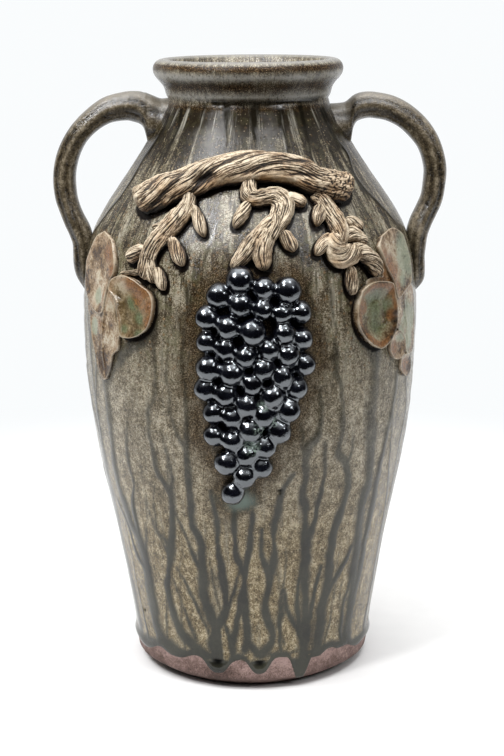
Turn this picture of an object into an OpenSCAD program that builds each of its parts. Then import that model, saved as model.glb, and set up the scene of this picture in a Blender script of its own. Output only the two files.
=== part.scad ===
// Two-handled stoneware jar with a grapevine applied to its front.
// The front of the jar faces -Y, the handles lie along X, and the jar stands on Z = 0.

/* [Jar] */
// Diameter of the flat that the jar stands on
foot_d = 150; // [120:1:164]
// Diameter of the wall where the bevel of the foot ends
heel_d = 175; // [166:1:200]
// Height of the bevel trimmed round the foot
bevel_h = 9; // [4:0.5:16]
// Diameter of the belly at its widest ring
belly_d = 245; // [220:1:270]
// Height of the widest ring above the foot
belly_h = 265; // [230:1:300]
// Height from the widest ring to the waist of the neck
shoulder_h = 153; // [135:1:175]
// Diameter of the neck at its waist
neck_d = 117; // [100:1:130]
// Height from the waist of the neck to the top of the lip
collar_h = 32; // [26:1:42]
// Diameter over the rolled lip
lip_d = 137; // [128:1:150]
// Thickness of the roll of the lip
lip_t = 14; // [10:0.5:16]
// Thickness of the thrown wall
wall_t = 9; // [6:0.5:11]
// Thickness of the floor
floor_t = 12; // [8:0.5:18]

/* [Handles] */
// Width of the strap, from front to back
handle_w = 25; // [18:0.5:32]
// Thickness of the strap
handle_t = 16; // [12:0.5:20]
// Farthest that the middle of the strap stands off the wall
handle_standoff = 52; // [42:1:62]
// Height of the top of the strap's middle line above the widest ring
handle_rise = 151; // [140:1:158]
// Height of the tail's end above the widest ring
handle_foot = 21; // [10:1:34]

/* [Vine] */
// Length of the branch across the shoulder
vine_l = 160; // [140:1:176]
// Width of the branch
vine_w = 20.5; // [16:0.5:24]
// Height that the branch stands proud of the wall
vine_relief = 14; // [9:0.5:18]
// Distance from the widest ring up the wall to the middle of the branch
vine_up = 124; // [108:1:132]
// Distance round the wall from one twig's start to the next
twig_spacing = 42.4; // [40:0.2:46]
// Drop of the centre twig from the branch to its foot
twig_drop = 57; // [52:0.5:61]
// Width of a twig
twig_w = 13; // [9:0.5:14.5]
// Height that a twig stands proud of the wall
twig_relief = 8; // [5:0.5:10]
// Length of a bud
bud_l = 18; // [13:0.5:21]
// Width of a bud
bud_w = 9; // [6:0.5:10.5]
// Height that a bud stands proud of the wall
bud_relief = 6.5; // [4:0.5:8]

/* [Leaves] */
// Reach of a leaf from the meeting point of its veins to its rounded lobe
leaf_r = 47; // [40:0.5:51]
// Thickness of a leaf
leaf_t = 5; // [3:0.5:7]
// Distance round the wall from the farthest twig tip to the meeting point of a leaf's veins
leaf_out = 20.8; // [17:0.2:26]
// Distance down the wall from the middle of the branch to the meeting point of a leaf's veins
leaf_drop = 93; // [90:1:106]

/* [Grapes] */
// Diameter of the largest grape
grape_d = 16.4; // [12:0.2:19]
// Spread of the grapes' middles across the bunch
cluster_w = 66; // [58:1:76]
// Spread of the grapes' middles down the bunch
cluster_h = 149; // [134:1:165]
// Room between the foot of the centre twig and the top grape
cluster_gap = 3; // [1:0.5:8]

/* [Hidden] */
// Room left between a piece and the wall it is stuck to
seat_gap = 0.3;
// Room left between two neighbouring pieces of the vine
joint_gap = 0.3;
// Step used to measure the slope of the wall
probe = 2;

neck_z = belly_h + shoulder_h;
jar_h = neck_z + collar_h;

// How the wall's three curves bend between their ends
heel_lean_share = 0.46;
heel_pull_share = 0.515;
belly_low_share = 0.585;
belly_high_share = 0.55;
neck_lean_share = 0.65;
neck_pull_share = 0.48;
collar_low_share = 0.35;
collar_high_share = 0.75;
collar_lean_share = 0.35;

// Where the roll of the lip leaves the collar and where it meets the inside, in degrees
lip_from = -50;
lip_to = 125;

lower_steps = 16;
shoulder_steps = 18;
collar_steps = 6;
lip_steps = 9;
jar_facets = 96;

function lerp(a, b, t) = a + (b - a) * t;
function unit(v) = v / norm(v);
function bezier(p, t) =
    p[0] * pow(1 - t, 3) + p[1] * 3 * t * pow(1 - t, 2) + p[2] * 3 * t * t * (1 - t) + p[3] * t * t * t;
function bezier_points(p, steps) = [for (i = [0:steps]) bezier(p, i / steps)];

// A smooth line through the points of p, at a share u of its length
function spline(p, u) =
    let (
        s = u * (len(p) - 1),
        i = min(floor(s), len(p) - 2),
        t = s - i,
        a = p[max(i - 1, 0)],
        b = p[i],
        c = p[i + 1],
        d = p[min(i + 2, len(p) - 1)]
    )
    (2 * b + (c - a) * t + (2 * a - 5 * b + 4 * c - d) * t * t + (3 * b - a - 3 * c + d) * t * t * t) / 2;

// Distances along the points of p from the first to each
function running_length(p) =
    [for (i = 0, d = 0; i < len(p); d = d + (i + 1 < len(p) ? norm(p[i + 1] - p[i]) : 0), i = i + 1) d];

lip_r = lip_t / 2;
lip_middle = [lip_d / 2 - lip_r, jar_h - lip_r];
lip_points = [
    for (i = [0:lip_steps])
        let (a = lerp(lip_from, lip_to, i / lip_steps))
        lip_middle + lip_r * [cos(a), sin(a)]
];

// The wall's outer line as [radius, height], from the heel up to the lip
lower_curve = [
    [heel_d / 2, bevel_h],
    [lerp(heel_d, belly_d, heel_lean_share) / 2, lerp(bevel_h, belly_h, heel_pull_share)],
    [belly_d / 2, lerp(bevel_h, belly_h, belly_low_share)],
    [belly_d / 2, belly_h]
];
shoulder_curve = [
    [belly_d / 2, belly_h],
    [belly_d / 2, belly_h + belly_high_share * shoulder_h],
    [lerp(neck_d, belly_d, neck_lean_share) / 2, belly_h + neck_pull_share * shoulder_h],
    [neck_d / 2, neck_z]
];
collar_curve = [
    [neck_d / 2, neck_z],
    [neck_d / 2, lerp(neck_z, lip_points[0][1], collar_low_share)],
    [
        lerp(neck_d / 2, lip_points[0][0], collar_lean_share),
        lerp(neck_z, lip_points[0][1], collar_high_share)
    ],
    lip_points[0]
];

lower_points = bezier_points(lower_curve, lower_steps);
shoulder_points = bezier_points(shoulder_curve, shoulder_steps);
collar_points = bezier_points(collar_curve, collar_steps);

function after_first(p) = [for (i = [1:len(p) - 1]) p[i]];
function reversed(p) = [for (i = [len(p) - 1:-1:0]) p[i]];

wall_points = concat(lower_points, after_first(shoulder_points), after_first(collar_points));
radius_table = concat([[0, foot_d / 2]], [for (p = wall_points) [p[1], p[0]]]);
wall_lengths = running_length(wall_points);
height_table = [
    for (i = [0:len(wall_points) - 1]) [wall_lengths[i] - wall_lengths[lower_steps], wall_points[i][1]]
];

// Radius of the wall at a height, and height at a distance up the wall from the widest ring
function wall_r(z) = lookup(z, radius_table);
function wall_z(up) = lookup(up, height_table);

// Outward direction of the wall at a height, as [radius, height]
function wall_out(z) = unit([2 * probe, wall_r(z - probe) - wall_r(z + probe)]);

// A place on the unrolled wall is [distance round from the front, distance up from the widest ring]
function place_angle(q) = q[0] / wall_r(wall_z(q[1])) * 180 / PI;
function around(r, z, a) = [r * sin(a), -r * cos(a), z];
function on_wall(q, proud) =
    let (z = wall_z(q[1]), out = wall_out(z))
    around(wall_r(z) + proud * out[0], z + proud * out[1], place_angle(q));
function out_of_wall(q) =
    let (out = wall_out(wall_z(q[1])))
    around(out[0], out[1], place_angle(q));

// A point that would lie inside the wall is brought out to its seat
function seated(p) =
    let (r = norm([p[0], p[1]]), seat_r = wall_r(p[2]) + seat_gap)
    r < seat_r ? [p[0] * seat_r / r, p[1] * seat_r / r, p[2]] : p;

// A closed skin over a row of rings, with a point at either end
module skin(rings, first_tip, last_tip) {
    n = len(rings[0]);
    m = len(rings);
    points = concat([first_tip], [for (ring = rings) each ring], [last_tip]);
    sides = [
        for (i = [0:m - 2], k = [0:n - 1])
            let (a = 1 + i * n + k, b = 1 + i * n + (k + 1) % n)
            each [[a, b, b + n], [a, b + n, a + n]]
    ];
    first_cap = [for (k = [0:n - 1]) [0, 1 + (k + 1) % n, 1 + k]];
    last_cap = [for (k = [0:n - 1]) let (o = 1 + (m - 1) * n) [o + k, o + (k + 1) % n, o + n]];
    polyhedron(points, concat(first_cap, sides, last_cap), convexity = 6);
}

// How far a coil's middle lies above the wall, as a share of its half height
coil_seat_share = 0.45;

// A coil of clay laid along a path on the wall. Bluntness sets how square its ends are.
module coil(path, width, relief, width_shares, bluntness, steps, sides) {
    half_h = relief / (1 + coil_seat_share);
    rings = [
        for (i = [1:steps - 1])
            let (
                u = (1 - cos(180 * i / steps)) / 2,
                ahead = on_wall(spline(path, min(u + 1 / steps, 1)), 0),
                behind = on_wall(spline(path, max(u - 1 / steps, 0)), 0),
                q = spline(path, u),
                end = sqrt(1 - pow(abs(2 * u - 1), bluntness)),
                out = out_of_wall(q),
                side = unit(cross(ahead - behind, out)),
                middle = on_wall(q, coil_seat_share * half_h * end),
                half_w = width / 2 * lookup(u, width_shares) * end
            )
            [
                for (k = [0:sides - 1])
                    let (a = 360 * k / sides)
                    seated(middle + side * half_w * cos(a) + out * half_h * end * sin(a))
            ]
    ];
    skin(rings, on_wall(path[0], seat_gap), on_wall(path[len(path) - 1], seat_gap));
}

even_shares = [[0, 1], [1, 1]];

module jar_body() {
    inside = concat(
        inner_points(lower_curve, lower_steps),
        inner_points(shoulder_curve, shoulder_steps),
        inner_points(collar_curve, collar_steps)
    );
    section = concat(
        [[0, 0], [foot_d / 2, 0]],
        wall_points,
        after_first(lip_points),
        reversed(inside),
        [[inside[0][0], floor_t], [0, floor_t]]
    );
    color("#6b6552") rotate_extrude($fn = jar_facets) polygon(section);
}

// The inner line of one of the wall's curves, above the floor
function inner_points(curve, steps) = [
    for (i = [0:steps])
        let (
            t = i / steps,
            along = bezier(curve, min(t + 1 / steps, 1)) - bezier(curve, max(t - 1 / steps, 0)),
            p = bezier(curve, t) - wall_t * unit([along[1], -along[0]])
        )
        if (p[1] > floor_t) p
];

// The strap's middle line, from the neck over the top and down to the tail:
// [height as a share of the strap's own height, distance off the wall as a share of its standoff]
handle_path_shares = [
    [0.91, -0.07], [0.955, 0.16], [0.99, 0.40], [1.00, 0.66], [0.945, 0.88], [0.84, 1.00], [0.72, 0.98],
    [0.585, 0.81], [0.455, 0.55], [0.34, 0.30], [0.23, 0.12], [0.11, 0.03], [0.00, -0.02]
];
// How the strap thickens and widens along that line
handle_t_shares = [
    [0, 1.85], [0.04, 1.62], [0.1, 1.3], [0.18, 1.21], [0.27, 1.18], [0.38, 1.04], [0.46, 1],
    [0.78, 1], [0.92, 0.95], [0.97, 0.7], [1, 0.4]
];
handle_w_shares = [
    [0, 1.3], [0.08, 1.15], [0.2, 1], [0.7, 1], [0.88, 1.12], [0.95, 1], [0.98, 0.75], [1, 0.4]
];
handle_round = 2.6;
handle_steps = 36;
handle_sides = 18;
root_cap_share = 0.5;

function handle_point(u) =
    let (
        s = spline(handle_path_shares, u),
        z = belly_h + lerp(handle_foot, handle_rise, s[0])
    )
    [wall_r(z) + s[1] * handle_standoff, z];
function rounded(c) = sign(c) * pow(abs(c), 2 / handle_round);
function handle_ring(u, scale_share) =
    let (
        p = handle_point(u),
        half_step = 1 / handle_steps / 2,
        along = unit(handle_point(min(u + half_step, 1)) - handle_point(max(u - half_step, 0))),
        half_t = handle_t / 2 * lookup(u, handle_t_shares) * scale_share,
        half_w = handle_w / 2 * lookup(u, handle_w_shares) * scale_share
    )
    [
        for (k = [0:handle_sides - 1])
            let (
                a = 360 * k / handle_sides,
                t = half_t * rounded(sin(a)),
                w = half_w * rounded(cos(a))
            )
            seated([p[0] - along[1] * t, w, p[1] + along[0] * t])
    ];

module handle() {
    rings = concat(
        [handle_ring(0, root_cap_share)],
        [for (i = [0:handle_steps]) handle_ring(i / handle_steps, 1)]
    );
    root = handle_point(0);
    tail_end = handle_point(1);
    color("#55503f") skin(rings, seated([root[0], 0, root[1]]), seated([tail_end[0], 0, tail_end[1]]));
}
module right_handle() { handle(); }
module left_handle() { mirror([1, 0, 0]) handle(); }

// The branch's middle line, from left to right, as shares of its length off its own middle
vine_path_shares = [
    [-0.50, -0.19], [-0.35, -0.115], [-0.25, -0.078], [-0.15, -0.031], [-0.06, -0.006], [0.02, 0.004],
    [0.11, -0.003], [0.20, -0.028], [0.28, -0.078], [0.37, -0.109], [0.47, -0.138]
];
vine_w_shares = [[0, 0.95], [0.12, 0.93], [0.3, 1], [0.5, 1.12], [0.72, 0.9], [1, 0.95]];
vine_path = [for (s = vine_path_shares) [0, vine_up] + s * vine_l];
vine_bluntness = 10;
vine_steps = 32;
vine_sides = 14;

module vine_branch() {
    color("#a58f6d")
        coil(vine_path, vine_w, vine_relief, vine_w_shares, vine_bluntness, vine_steps, vine_sides);
}

// Share of the way along the branch at each of the points of its line
vine_way_table = [
    for (i = [0:len(vine_path_shares) - 1]) [vine_path_shares[i][0] * vine_l, i / (len(vine_path_shares) - 1)]
];

// The place just under the branch where a twig starts, at a distance round the wall from the front
function under_vine(side) =
    let (
        u = lookup(side, vine_way_table),
        along = unit(spline(vine_path, u + probe / vine_l) - spline(vine_path, u - probe / vine_l)),
        half_w = vine_w / 2 * lookup(u, vine_w_shares)
    )
    spline(vine_path, u) - [0, half_w / along[0] + joint_gap];

// Each twig: where it leaves the branch as a share of the spacing, then its line as shares of the twigs' drop
left_twig_start_share = -0.95;
left_twig_shares = [
    [0, 0], [-0.09, -0.22], [-0.27, -0.385], [-0.42, -0.525], [-0.5, -0.675], [-0.545, -0.81],
    [-0.62, -0.92]
];
centre_twig_start_share = 0.03;
centre_twig_shares = [
    [0, 0], [0.03, -0.07], [0.15, -0.145], [0.3, -0.2], [0.35, -0.35], [0.28, -0.55], [0.15, -0.735],
    [0.05, -0.885], [0, -1]
];
right_twig_start_share = 1.06;
right_twig_shares = [
    [0, 0], [0.11, -0.14], [0.255, -0.265], [0.31, -0.405], [0.28, -0.575], [0.3, -0.755], [0.415, -0.855],
    [0.575, -0.845], [0.715, -0.78], [0.82, -0.895], [0.865, -1.035]
];
function twig_path(start_share, shares) =
    let (start = under_vine(start_share * twig_spacing))
    [for (s = shares) start + s * twig_drop];
left_twig_path = twig_path(left_twig_start_share, left_twig_shares);
centre_twig_path = twig_path(centre_twig_start_share, centre_twig_shares);
right_twig_path = twig_path(right_twig_start_share, right_twig_shares);

twig_reach = max([for (q = right_twig_path) q[0]]);

twig_w_shares = [[0, 0.75], [0.2, 0.95], [0.6, 1], [0.85, 0.9], [1, 0.7]];
fan_w_shares = [[0, 0.8], [0.15, 0.95], [0.55, 1.1], [0.75, 1.3], [0.9, 2.1], [1, 2.3]];
twig_bluntness = 8;
twig_steps = 26;
twig_sides = 10;

module twig(path, width_shares) {
    color("#b39c78") coil(path, twig_w, twig_relief, width_shares, twig_bluntness, twig_steps, twig_sides);
}
module left_twig() { twig(left_twig_path, twig_w_shares); }
module centre_twig() { twig(centre_twig_path, fan_w_shares); }
module right_twig() { twig(right_twig_path, twig_w_shares); }

// Buds of each twig: [share of the way along the twig, heading in degrees, share of the bud's length]
left_bud_shares = [[0.05, -69, 1.07], [0.33, -61, 1.14], [0.72, -63, 1], [0.6, -155, 0.89]];
centre_bud_shares = [[0.125, -113, 1.11], [0.4, -14, 0.56], [0.625, -52, 0.94]];
right_bud_shares = [
    [0.09, -102, 0.84], [0.2, -14, 0.83], [0.36, -148, 0.89], [0.6, -80, 0.94], [0.3, -27, 0.83]
];
bud_tuck_share = 0.1;
bud_bluntness = 2.2;
bud_steps = 8;
bud_sides = 8;

// A bud starts at the edge of its twig and points away from it
module bud(path, width_shares, row) {
    u = row[0];
    heading = [cos(row[1]), sin(row[1])];
    along = unit(spline(path, min(u + probe / twig_drop, 1)) - spline(path, max(u - probe / twig_drop, 0)));
    lean = abs(heading[0] * along[1] - heading[1] * along[0]);
    clear = twig_w / 2 * lookup(u, width_shares) + joint_gap + bud_w * bud_tuck_share;
    base = spline(path, u) + heading * clear / lean;
    tip = base + heading * bud_l * row[2];
    color("#a8906c")
        coil([base, tip], bud_w, bud_relief, even_shares, bud_bluntness, bud_steps, bud_sides);
}
module left_bud(i) { bud(left_twig_path, twig_w_shares, left_bud_shares[i]); }
module centre_bud(i) { bud(centre_twig_path, fan_w_shares, centre_bud_shares[i]); }
module right_bud(i) { bud(right_twig_path, twig_w_shares, right_bud_shares[i]); }

// Tips and notches round each leaf:
// [heading in degrees from the front of the jar, share of the leaf's reach]
left_leaf_shares = [
    [-40, 0.95], [8, 0.93], [42, 0.32], [68, 0.62], [105, 0.79], [134, 0.6], [160, 0.95], [188, 0.68],
    [212, 0.98], [236, 0.8], [262, 1.42], [274, 1.02], [284, 0.93], [293, 0.74], [320, 0.95]
];
right_leaf_shares = [
    [-45, 0.93], [-15, 0.86], [35, 0.34], [68, 0.66], [100, 0.81], [134, 0.66], [160, 0.95], [188, 0.68],
    [210, 0.98], [230, 0.82], [253, 1.4], [261, 1.08], [268, 0.9], [274, 0.74], [292, 0.93], [315, 0.93]
];
leaf_sides = 72;
// Rings of a leaf from its middle over the raised rim and back under:
// [share of its reach, share of its thickness]
leaf_top_shares = [[0.18, 0.8], [0.36, 0.72], [0.54, 0.66], [0.72, 0.68], [0.88, 0.92], [0.96, 1], [1, 0.6]];
leaf_under_shares = [[0.98, 0], [0.8, 0], [0.6, 0], [0.4, 0], [0.2, 0]];

function smooth(t) = t * t * (3 - 2 * t);
function leaf_reach(shares, a) =
    let (
        passed = len([for (i = [0:len(shares) - 2]) if (shares[i][0] <= a) i]),
        low = shares[passed - 1],
        high = shares[passed]
    )
    leaf_r * lerp(low[1], high[1], smooth((a - low[0]) / (high[0] - low[0])));

// A leaf for the right side of the jar. Turn is 1 there and -1 for the left side.
module leaf(shares, turn) {
    middle = [(twig_reach + leaf_out) * turn, vine_up - leaf_drop];
    rings = [
        for (s = concat(leaf_top_shares, leaf_under_shares)) [
            for (k = [0:leaf_sides - 1])
                let (
                    a = shares[0][0] + 360 * (turn > 0 ? k : leaf_sides - k) / leaf_sides,
                    heading = a >= shares[0][0] + 360 ? a - 360 : a,
                    reach = leaf_reach(shares, heading) * s[0]
                )
                on_wall(middle + reach * [-turn * cos(heading), sin(heading)], seat_gap + leaf_t * s[1])
        ]
    ];
    color("#8a7a5c")
        skin(rings, on_wall(middle, seat_gap + leaf_t * leaf_top_shares[0][1]), on_wall(middle, seat_gap));
}
module left_leaf() { leaf(left_leaf_shares, -1); }
module right_leaf() { leaf(right_leaf_shares, 1); }

// Middles of the grapes in rows:
// [share of the bunch's width off its middle, share of its height from the top]
grape_row_shares = [
    [[-0.14, 0], [0.09, 0.04], [0.33, 0.05]],
    [[-0.35, 0.07], [-0.14, 0.11], [0.08, 0.13], [0.27, 0.15], [0.47, 0.15]],
    [[-0.47, 0.17], [-0.26, 0.21], [-0.02, 0.23], [0.29, 0.24], [0.48, 0.27]],
    [[-0.48, 0.28], [-0.29, 0.31], [-0.09, 0.34], [0.14, 0.31], [0.33, 0.34]],
    [[-0.47, 0.40], [-0.23, 0.42], [-0.03, 0.47], [0.09, 0.40], [0.27, 0.44], [0.50, 0.39]],
    [[-0.50, 0.50], [-0.29, 0.52], [-0.08, 0.57], [0.17, 0.53], [0.42, 0.50]],
    [[-0.42, 0.61], [-0.23, 0.63], [0.09, 0.62], [0.33, 0.60]],
    [[-0.42, 0.72], [-0.05, 0.69], [0.24, 0.70]],
    [[-0.23, 0.74], [0.09, 0.77], [-0.09, 0.81]],
    [[-0.29, 0.85], [0.06, 0.87]],
    [[-0.11, 0.92], [-0.23, 1]]
];
cluster_side_share = 0.03;
// How far a grape's middle stands off the wall, as a share of its radius, at the edge and in the middle
grape_low_share = 0.35;
grape_high_share = 0.75;
grape_facets = 32;

twig_foot = centre_twig_path[len(centre_twig_path) - 1];
cluster_top = twig_foot + [cluster_w * cluster_side_share, -cluster_gap - grape_d / 2];
function grape_place(s) = cluster_top + [s[0] * cluster_w, -s[1] * cluster_h];
grape_places = [for (row = grape_row_shares, s = row) grape_place(s)];
function others(q) = [for (o = grape_places) if (norm(o - q) > 0) o];
// Half the way to the nearest grape, then half of any room that is still left to each neighbour
function half_way(q) = min([for (o = others(q)) norm(o - q)]) / 2;
function grape_r(q) =
    let (r = half_way(q))
    min(grape_d / 2, min([for (o = others(q)) (norm(o - q) + r - half_way(o)) / 2]) - joint_gap / 2);

module grape(s) {
    q = grape_place(s);
    r = grape_r(q);
    z = wall_z(q[1]);
    out = wall_out(z);
    // Grapes near the middle of the bunch stand prouder than those at its edge
    stand = r * lerp(grape_high_share, grape_low_share, min(2 * abs(s[0]), 1));
    rotate([0, 0, place_angle(q)])
        translate([0, -wall_r(z), z])
            rotate([90 - atan2(out[1], out[0]), 0, 0])
                intersection() {
                    translate([0, 0, stand]) sphere(r, $fn = grape_facets);
                    translate([-grape_d, -grape_d, seat_gap]) cube(2 * grape_d);
                }
}
module grape_row(i) {
    color("#14161d") for (s = grape_row_shares[i]) grape(s);
}

function numbered(name, list) = [for (i = [1:len(list)]) str(name, "_", i)];

jar_body();
left_handle();
right_handle();
vine_branch();
left_twig();
centre_twig();
right_twig();
for (i = [0:len(left_bud_shares) - 1])
    left_bud(i);
for (i = [0:len(centre_bud_shares) - 1])
    centre_bud(i);
for (i = [0:len(right_bud_shares) - 1])
    right_bud(i);
left_leaf();
right_leaf();
for (i = [0:len(grape_row_shares) - 1])
    grape_row(i);
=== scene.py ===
"""Looks of a two-handled stoneware jar with a grapevine applied to its front.

Shapes are worked out in millimetres. A place on the unrolled wall is (side, up): the distance round the
wall from the front, and the distance up the wall from the widest ring.
"""

import math

import bpy
import numpy as np
from mathutils import Euler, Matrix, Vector


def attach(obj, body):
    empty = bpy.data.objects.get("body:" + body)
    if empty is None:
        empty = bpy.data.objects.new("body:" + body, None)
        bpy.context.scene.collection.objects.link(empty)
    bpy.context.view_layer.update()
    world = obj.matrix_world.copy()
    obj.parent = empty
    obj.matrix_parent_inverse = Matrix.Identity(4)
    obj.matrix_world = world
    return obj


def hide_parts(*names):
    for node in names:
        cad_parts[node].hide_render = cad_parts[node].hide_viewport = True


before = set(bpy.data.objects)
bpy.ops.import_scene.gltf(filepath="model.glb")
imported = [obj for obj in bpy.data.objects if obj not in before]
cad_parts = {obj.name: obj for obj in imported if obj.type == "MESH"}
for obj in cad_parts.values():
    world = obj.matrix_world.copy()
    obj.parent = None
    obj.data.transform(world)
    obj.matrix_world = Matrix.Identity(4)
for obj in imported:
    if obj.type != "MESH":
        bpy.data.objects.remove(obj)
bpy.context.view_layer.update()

MM = 0.001


# Lines, noise and rings of points

NOISE_CELLS = 32


def noise(points, size, seed):
    """Smooth random values from -1 to 1 at the points, with features about as large as size."""
    lattice = np.random.default_rng(seed).uniform(-1, 1, (NOISE_CELLS,) * 3)
    cell = np.floor(points / size).astype(int)
    part = points / size - cell
    part = part * part * (3 - 2 * part)
    total = 0
    for corner in np.ndindex(2, 2, 2):
        weight = np.prod(np.where(corner, part, 1 - part), axis=-1)
        a, b, c = np.moveaxis((cell + corner) % NOISE_CELLS, -1, 0)
        total = total + weight * lattice[a, b, c]
    return total


def stacked(*parts):
    """Points or faces from their parts."""
    return np.stack(np.broadcast_arrays(*parts), -1)


def turned(degrees):
    """The same directions, from -180 to 180 degrees."""
    return (degrees + 180) % 360 - 180


def smooth(low, high, value):
    """0 below low, 1 above high, and a soft step between them."""
    t = np.clip((value - low) / (high - low), 0, 1)
    return t * t * (3 - 2 * t)


def hump(middle, width, value):
    """A soft hump of height 1 at middle."""
    return np.exp(-(((value - middle) / width) ** 2))


def spline(points, count):
    """A number of points on a smooth line through the given ones."""
    p = np.asarray(points, float)
    p = np.vstack([2 * p[0] - p[1], p, 2 * p[-1] - p[-2]])
    at = np.linspace(0, len(p) - 3, count)
    i = np.minimum(at.astype(int), len(p) - 4)
    t = (at - i)[:, None]
    a, b, c, d = (p[i + k] for k in range(4))
    return b + t / 2 * (c - a + t * (2 * a - 5 * b + 4 * c - d + t * (3 * (b - c) + d - a)))


SPLINE_POINTS = 40
FEWEST_POINTS = 6


def even_line(points, apart):
    """Points that are evenly apart on a smooth line. Columns after the first two are carried along."""
    dense = spline(points, SPLINE_POINTS * len(points))
    way = np.r_[0, np.cumsum(np.hypot(*np.diff(dense[:, :2], axis=0).T))]
    at = np.linspace(0, way[-1], max(int(way[-1] / apart), FEWEST_POINTS))
    return np.stack([np.interp(at, way, column) for column in dense.T], 1)


def skin(rings, first, last, **fields):
    """A closed skin over a row of rings, with a point at either end and named values at its points."""
    count, size = rings.shape[:2]
    points = np.vstack([first, rings.reshape(-1, 3), last])
    end = len(points) - 1
    ring = np.arange(size)
    after = (ring + 1) % size
    start = 1 + size * np.arange(count - 1)[:, None]
    a = start + ring
    b = start + after
    sides = stacked(a, b, b + size, a + size).reshape(-1, 4)
    first_cap = stacked(0, 1 + after, 1 + ring)
    last_cap = stacked(end, end - size + ring, end - size + after)
    values = {
        name: np.concatenate([[value[0].mean()], value.ravel(), [value[-1].mean()]])
        for name, value in fields.items()
    }
    return points, sides.tolist() + first_cap.tolist() + last_cap.tolist(), values


def capped(rings, **fields):
    """A skin whose end points are in the middle of its first and last ring."""
    return skin(rings, rings[0].mean(0), rings[-1].mean(0), **fields)


def joined(shapes):
    """Several skins as one."""
    points, faces, values = [], [], {}
    for shape_points, shape_faces, shape_values in shapes:
        start = sum(map(len, points))
        points.append(shape_points)
        faces += [[start + v for v in face] for face in shape_faces]
        for name, value in shape_values.items():
            values.setdefault(name, []).append(value)
    return np.vstack(points), faces, {name: np.concatenate(value) for name, value in values.items()}


def new_object(name, data):
    made = bpy.data.objects.new(name, data)
    bpy.context.scene.collection.objects.link(made)
    return made


def new_mesh(name, points, faces):
    mesh = bpy.data.meshes.new(name)
    mesh.from_pydata(points.tolist(), [], faces)
    return mesh


def make_piece(name, shape, material, nodes):
    """A smooth piece that stands for some of the solids."""
    points, faces, values = shape
    mesh = new_mesh(name, points * MM, faces)
    for label, value in values.items():
        mesh.attributes.new(label, "FLOAT", "POINT").data.foreach_set("value", value.astype(np.float32))
    mesh.shade_smooth()
    mesh.materials.append(material)
    piece = new_object(name, mesh)
    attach(piece, "root")
    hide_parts(*nodes)


# The jar's wall, read from its solid

WALL_STEP = 1.0
PROBE = 2.0
SLIVER = 2e-6
HEEL_Z = 9.0


def jar_line(inner):
    """The jar's outer or inner line, as rows of radius and height from the foot up."""
    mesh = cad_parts["jar_body"].data
    radius_at = {}
    for face in mesh.polygons:
        outward = face.normal.x * face.center.x + face.normal.y * face.center.y
        if face.area > SLIVER and outward and (outward < 0) == inner:
            for v in face.vertices:
                x, y, z = mesh.vertices[v].co / MM
                radius_at[round(z, 1)] = math.hypot(x, y)
    return np.array([(radius_at[z], z) for z in sorted(radius_at)])


OUTER_ROWS = jar_line(inner=False)
INNER_ROWS = jar_line(inner=True)
BEVEL_ROWS = OUTER_ROWS[OUTER_ROWS[:, 1] < HEEL_Z - SLIVER]
WALL_ROWS = OUTER_ROWS[len(BEVEL_ROWS):]
WALL = np.vstack([BEVEL_ROWS, even_line(WALL_ROWS, WALL_STEP)])
BELLY_ROW = WALL[:, 0].argmax()
WALL_UP = np.r_[0, np.cumsum(np.hypot(*np.diff(WALL, axis=0).T))]
WALL_UP -= WALL_UP[BELLY_ROW]


def wall_r(z):
    return np.interp(z, WALL[:, 1], WALL[:, 0])


def wall_z(up):
    return np.interp(up, WALL_UP, WALL[:, 1])


def wall_up(z):
    return np.interp(z, WALL[:, 1], WALL_UP)


def wall_out(z):
    """Outward direction of the wall at a height: its share along the radius and along the height."""
    slope = (wall_r(z + PROBE) - wall_r(z - PROBE)) / (2 * PROBE)
    length = np.sqrt(1 + slope * slope)
    return 1 / length, -slope / length


def around(r, angle, z):
    """Points at a radius, an angle from the front and a height."""
    return stacked(r * np.sin(angle), -r * np.cos(angle), z)


def on_wall(side, up, proud):
    """Points that stand proud of the unrolled wall."""
    z = wall_z(up)
    out_r, out_z = wall_out(z)
    return around(wall_r(z) + proud * out_r, side / wall_r(z), z + proud * out_z)


# Nodes of materials

class Value:
    """What a node gives over a surface. Values add and multiply as numbers do."""

    def __init__(self, socket):
        self.socket = socket
        self.tree = socket.id_data

    def __add__(self, other):
        return calc("ADD", self, other)

    def __sub__(self, other):
        return calc("SUBTRACT", self, other)

    def __rsub__(self, other):
        return calc("SUBTRACT", other, self)

    def __mul__(self, other):
        return calc("MULTIPLY", self, other)

    __radd__ = __add__
    __rmul__ = __mul__


def new_node(tree, kind, inputs, **settings):
    """A node with some of its inputs linked or set."""
    made = tree.nodes.new(kind)
    for name, value in settings.items():
        setattr(made, name, value)
    for name, value in inputs.items():
        if isinstance(value, Value):
            tree.links.new(value.socket, made.inputs[name])
        else:
            made.inputs[name].default_value = value
    return made


def add(tree, kind, output, inputs, **settings):
    """One output of a new node."""
    return Value(new_node(tree, kind, inputs, **settings).outputs[output])


def calc(operation, a, b):
    tree = a.tree if isinstance(a, Value) else b.tree
    return add(tree, "ShaderNodeMath", 0, {0: a, 1: b}, operation=operation)


def most(value, *others):
    """The largest of some values."""
    for other in others:
        value = calc("MAXIMUM", value, other)
    return value


def split(vector):
    """The three parts of a vector."""
    made = new_node(vector.tree, "ShaderNodeSeparateXYZ", {"Vector": vector})
    return [Value(part) for part in made.outputs]


def combine(x, y, z):
    return add(x.tree, "ShaderNodeCombineXYZ", "Vector", {"X": x, "Y": y, "Z": z})


def field(tree, name):
    return add(tree, "ShaderNodeAttribute", "Fac", {}, attribute_name=name)


def grain(spot, scale, detail=2.0, rough=0.5):
    inputs = {"Vector": spot, "Scale": scale, "Detail": detail, "Roughness": rough}
    return add(spot.tree, "ShaderNodeTexNoise", "Fac", inputs)


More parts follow.
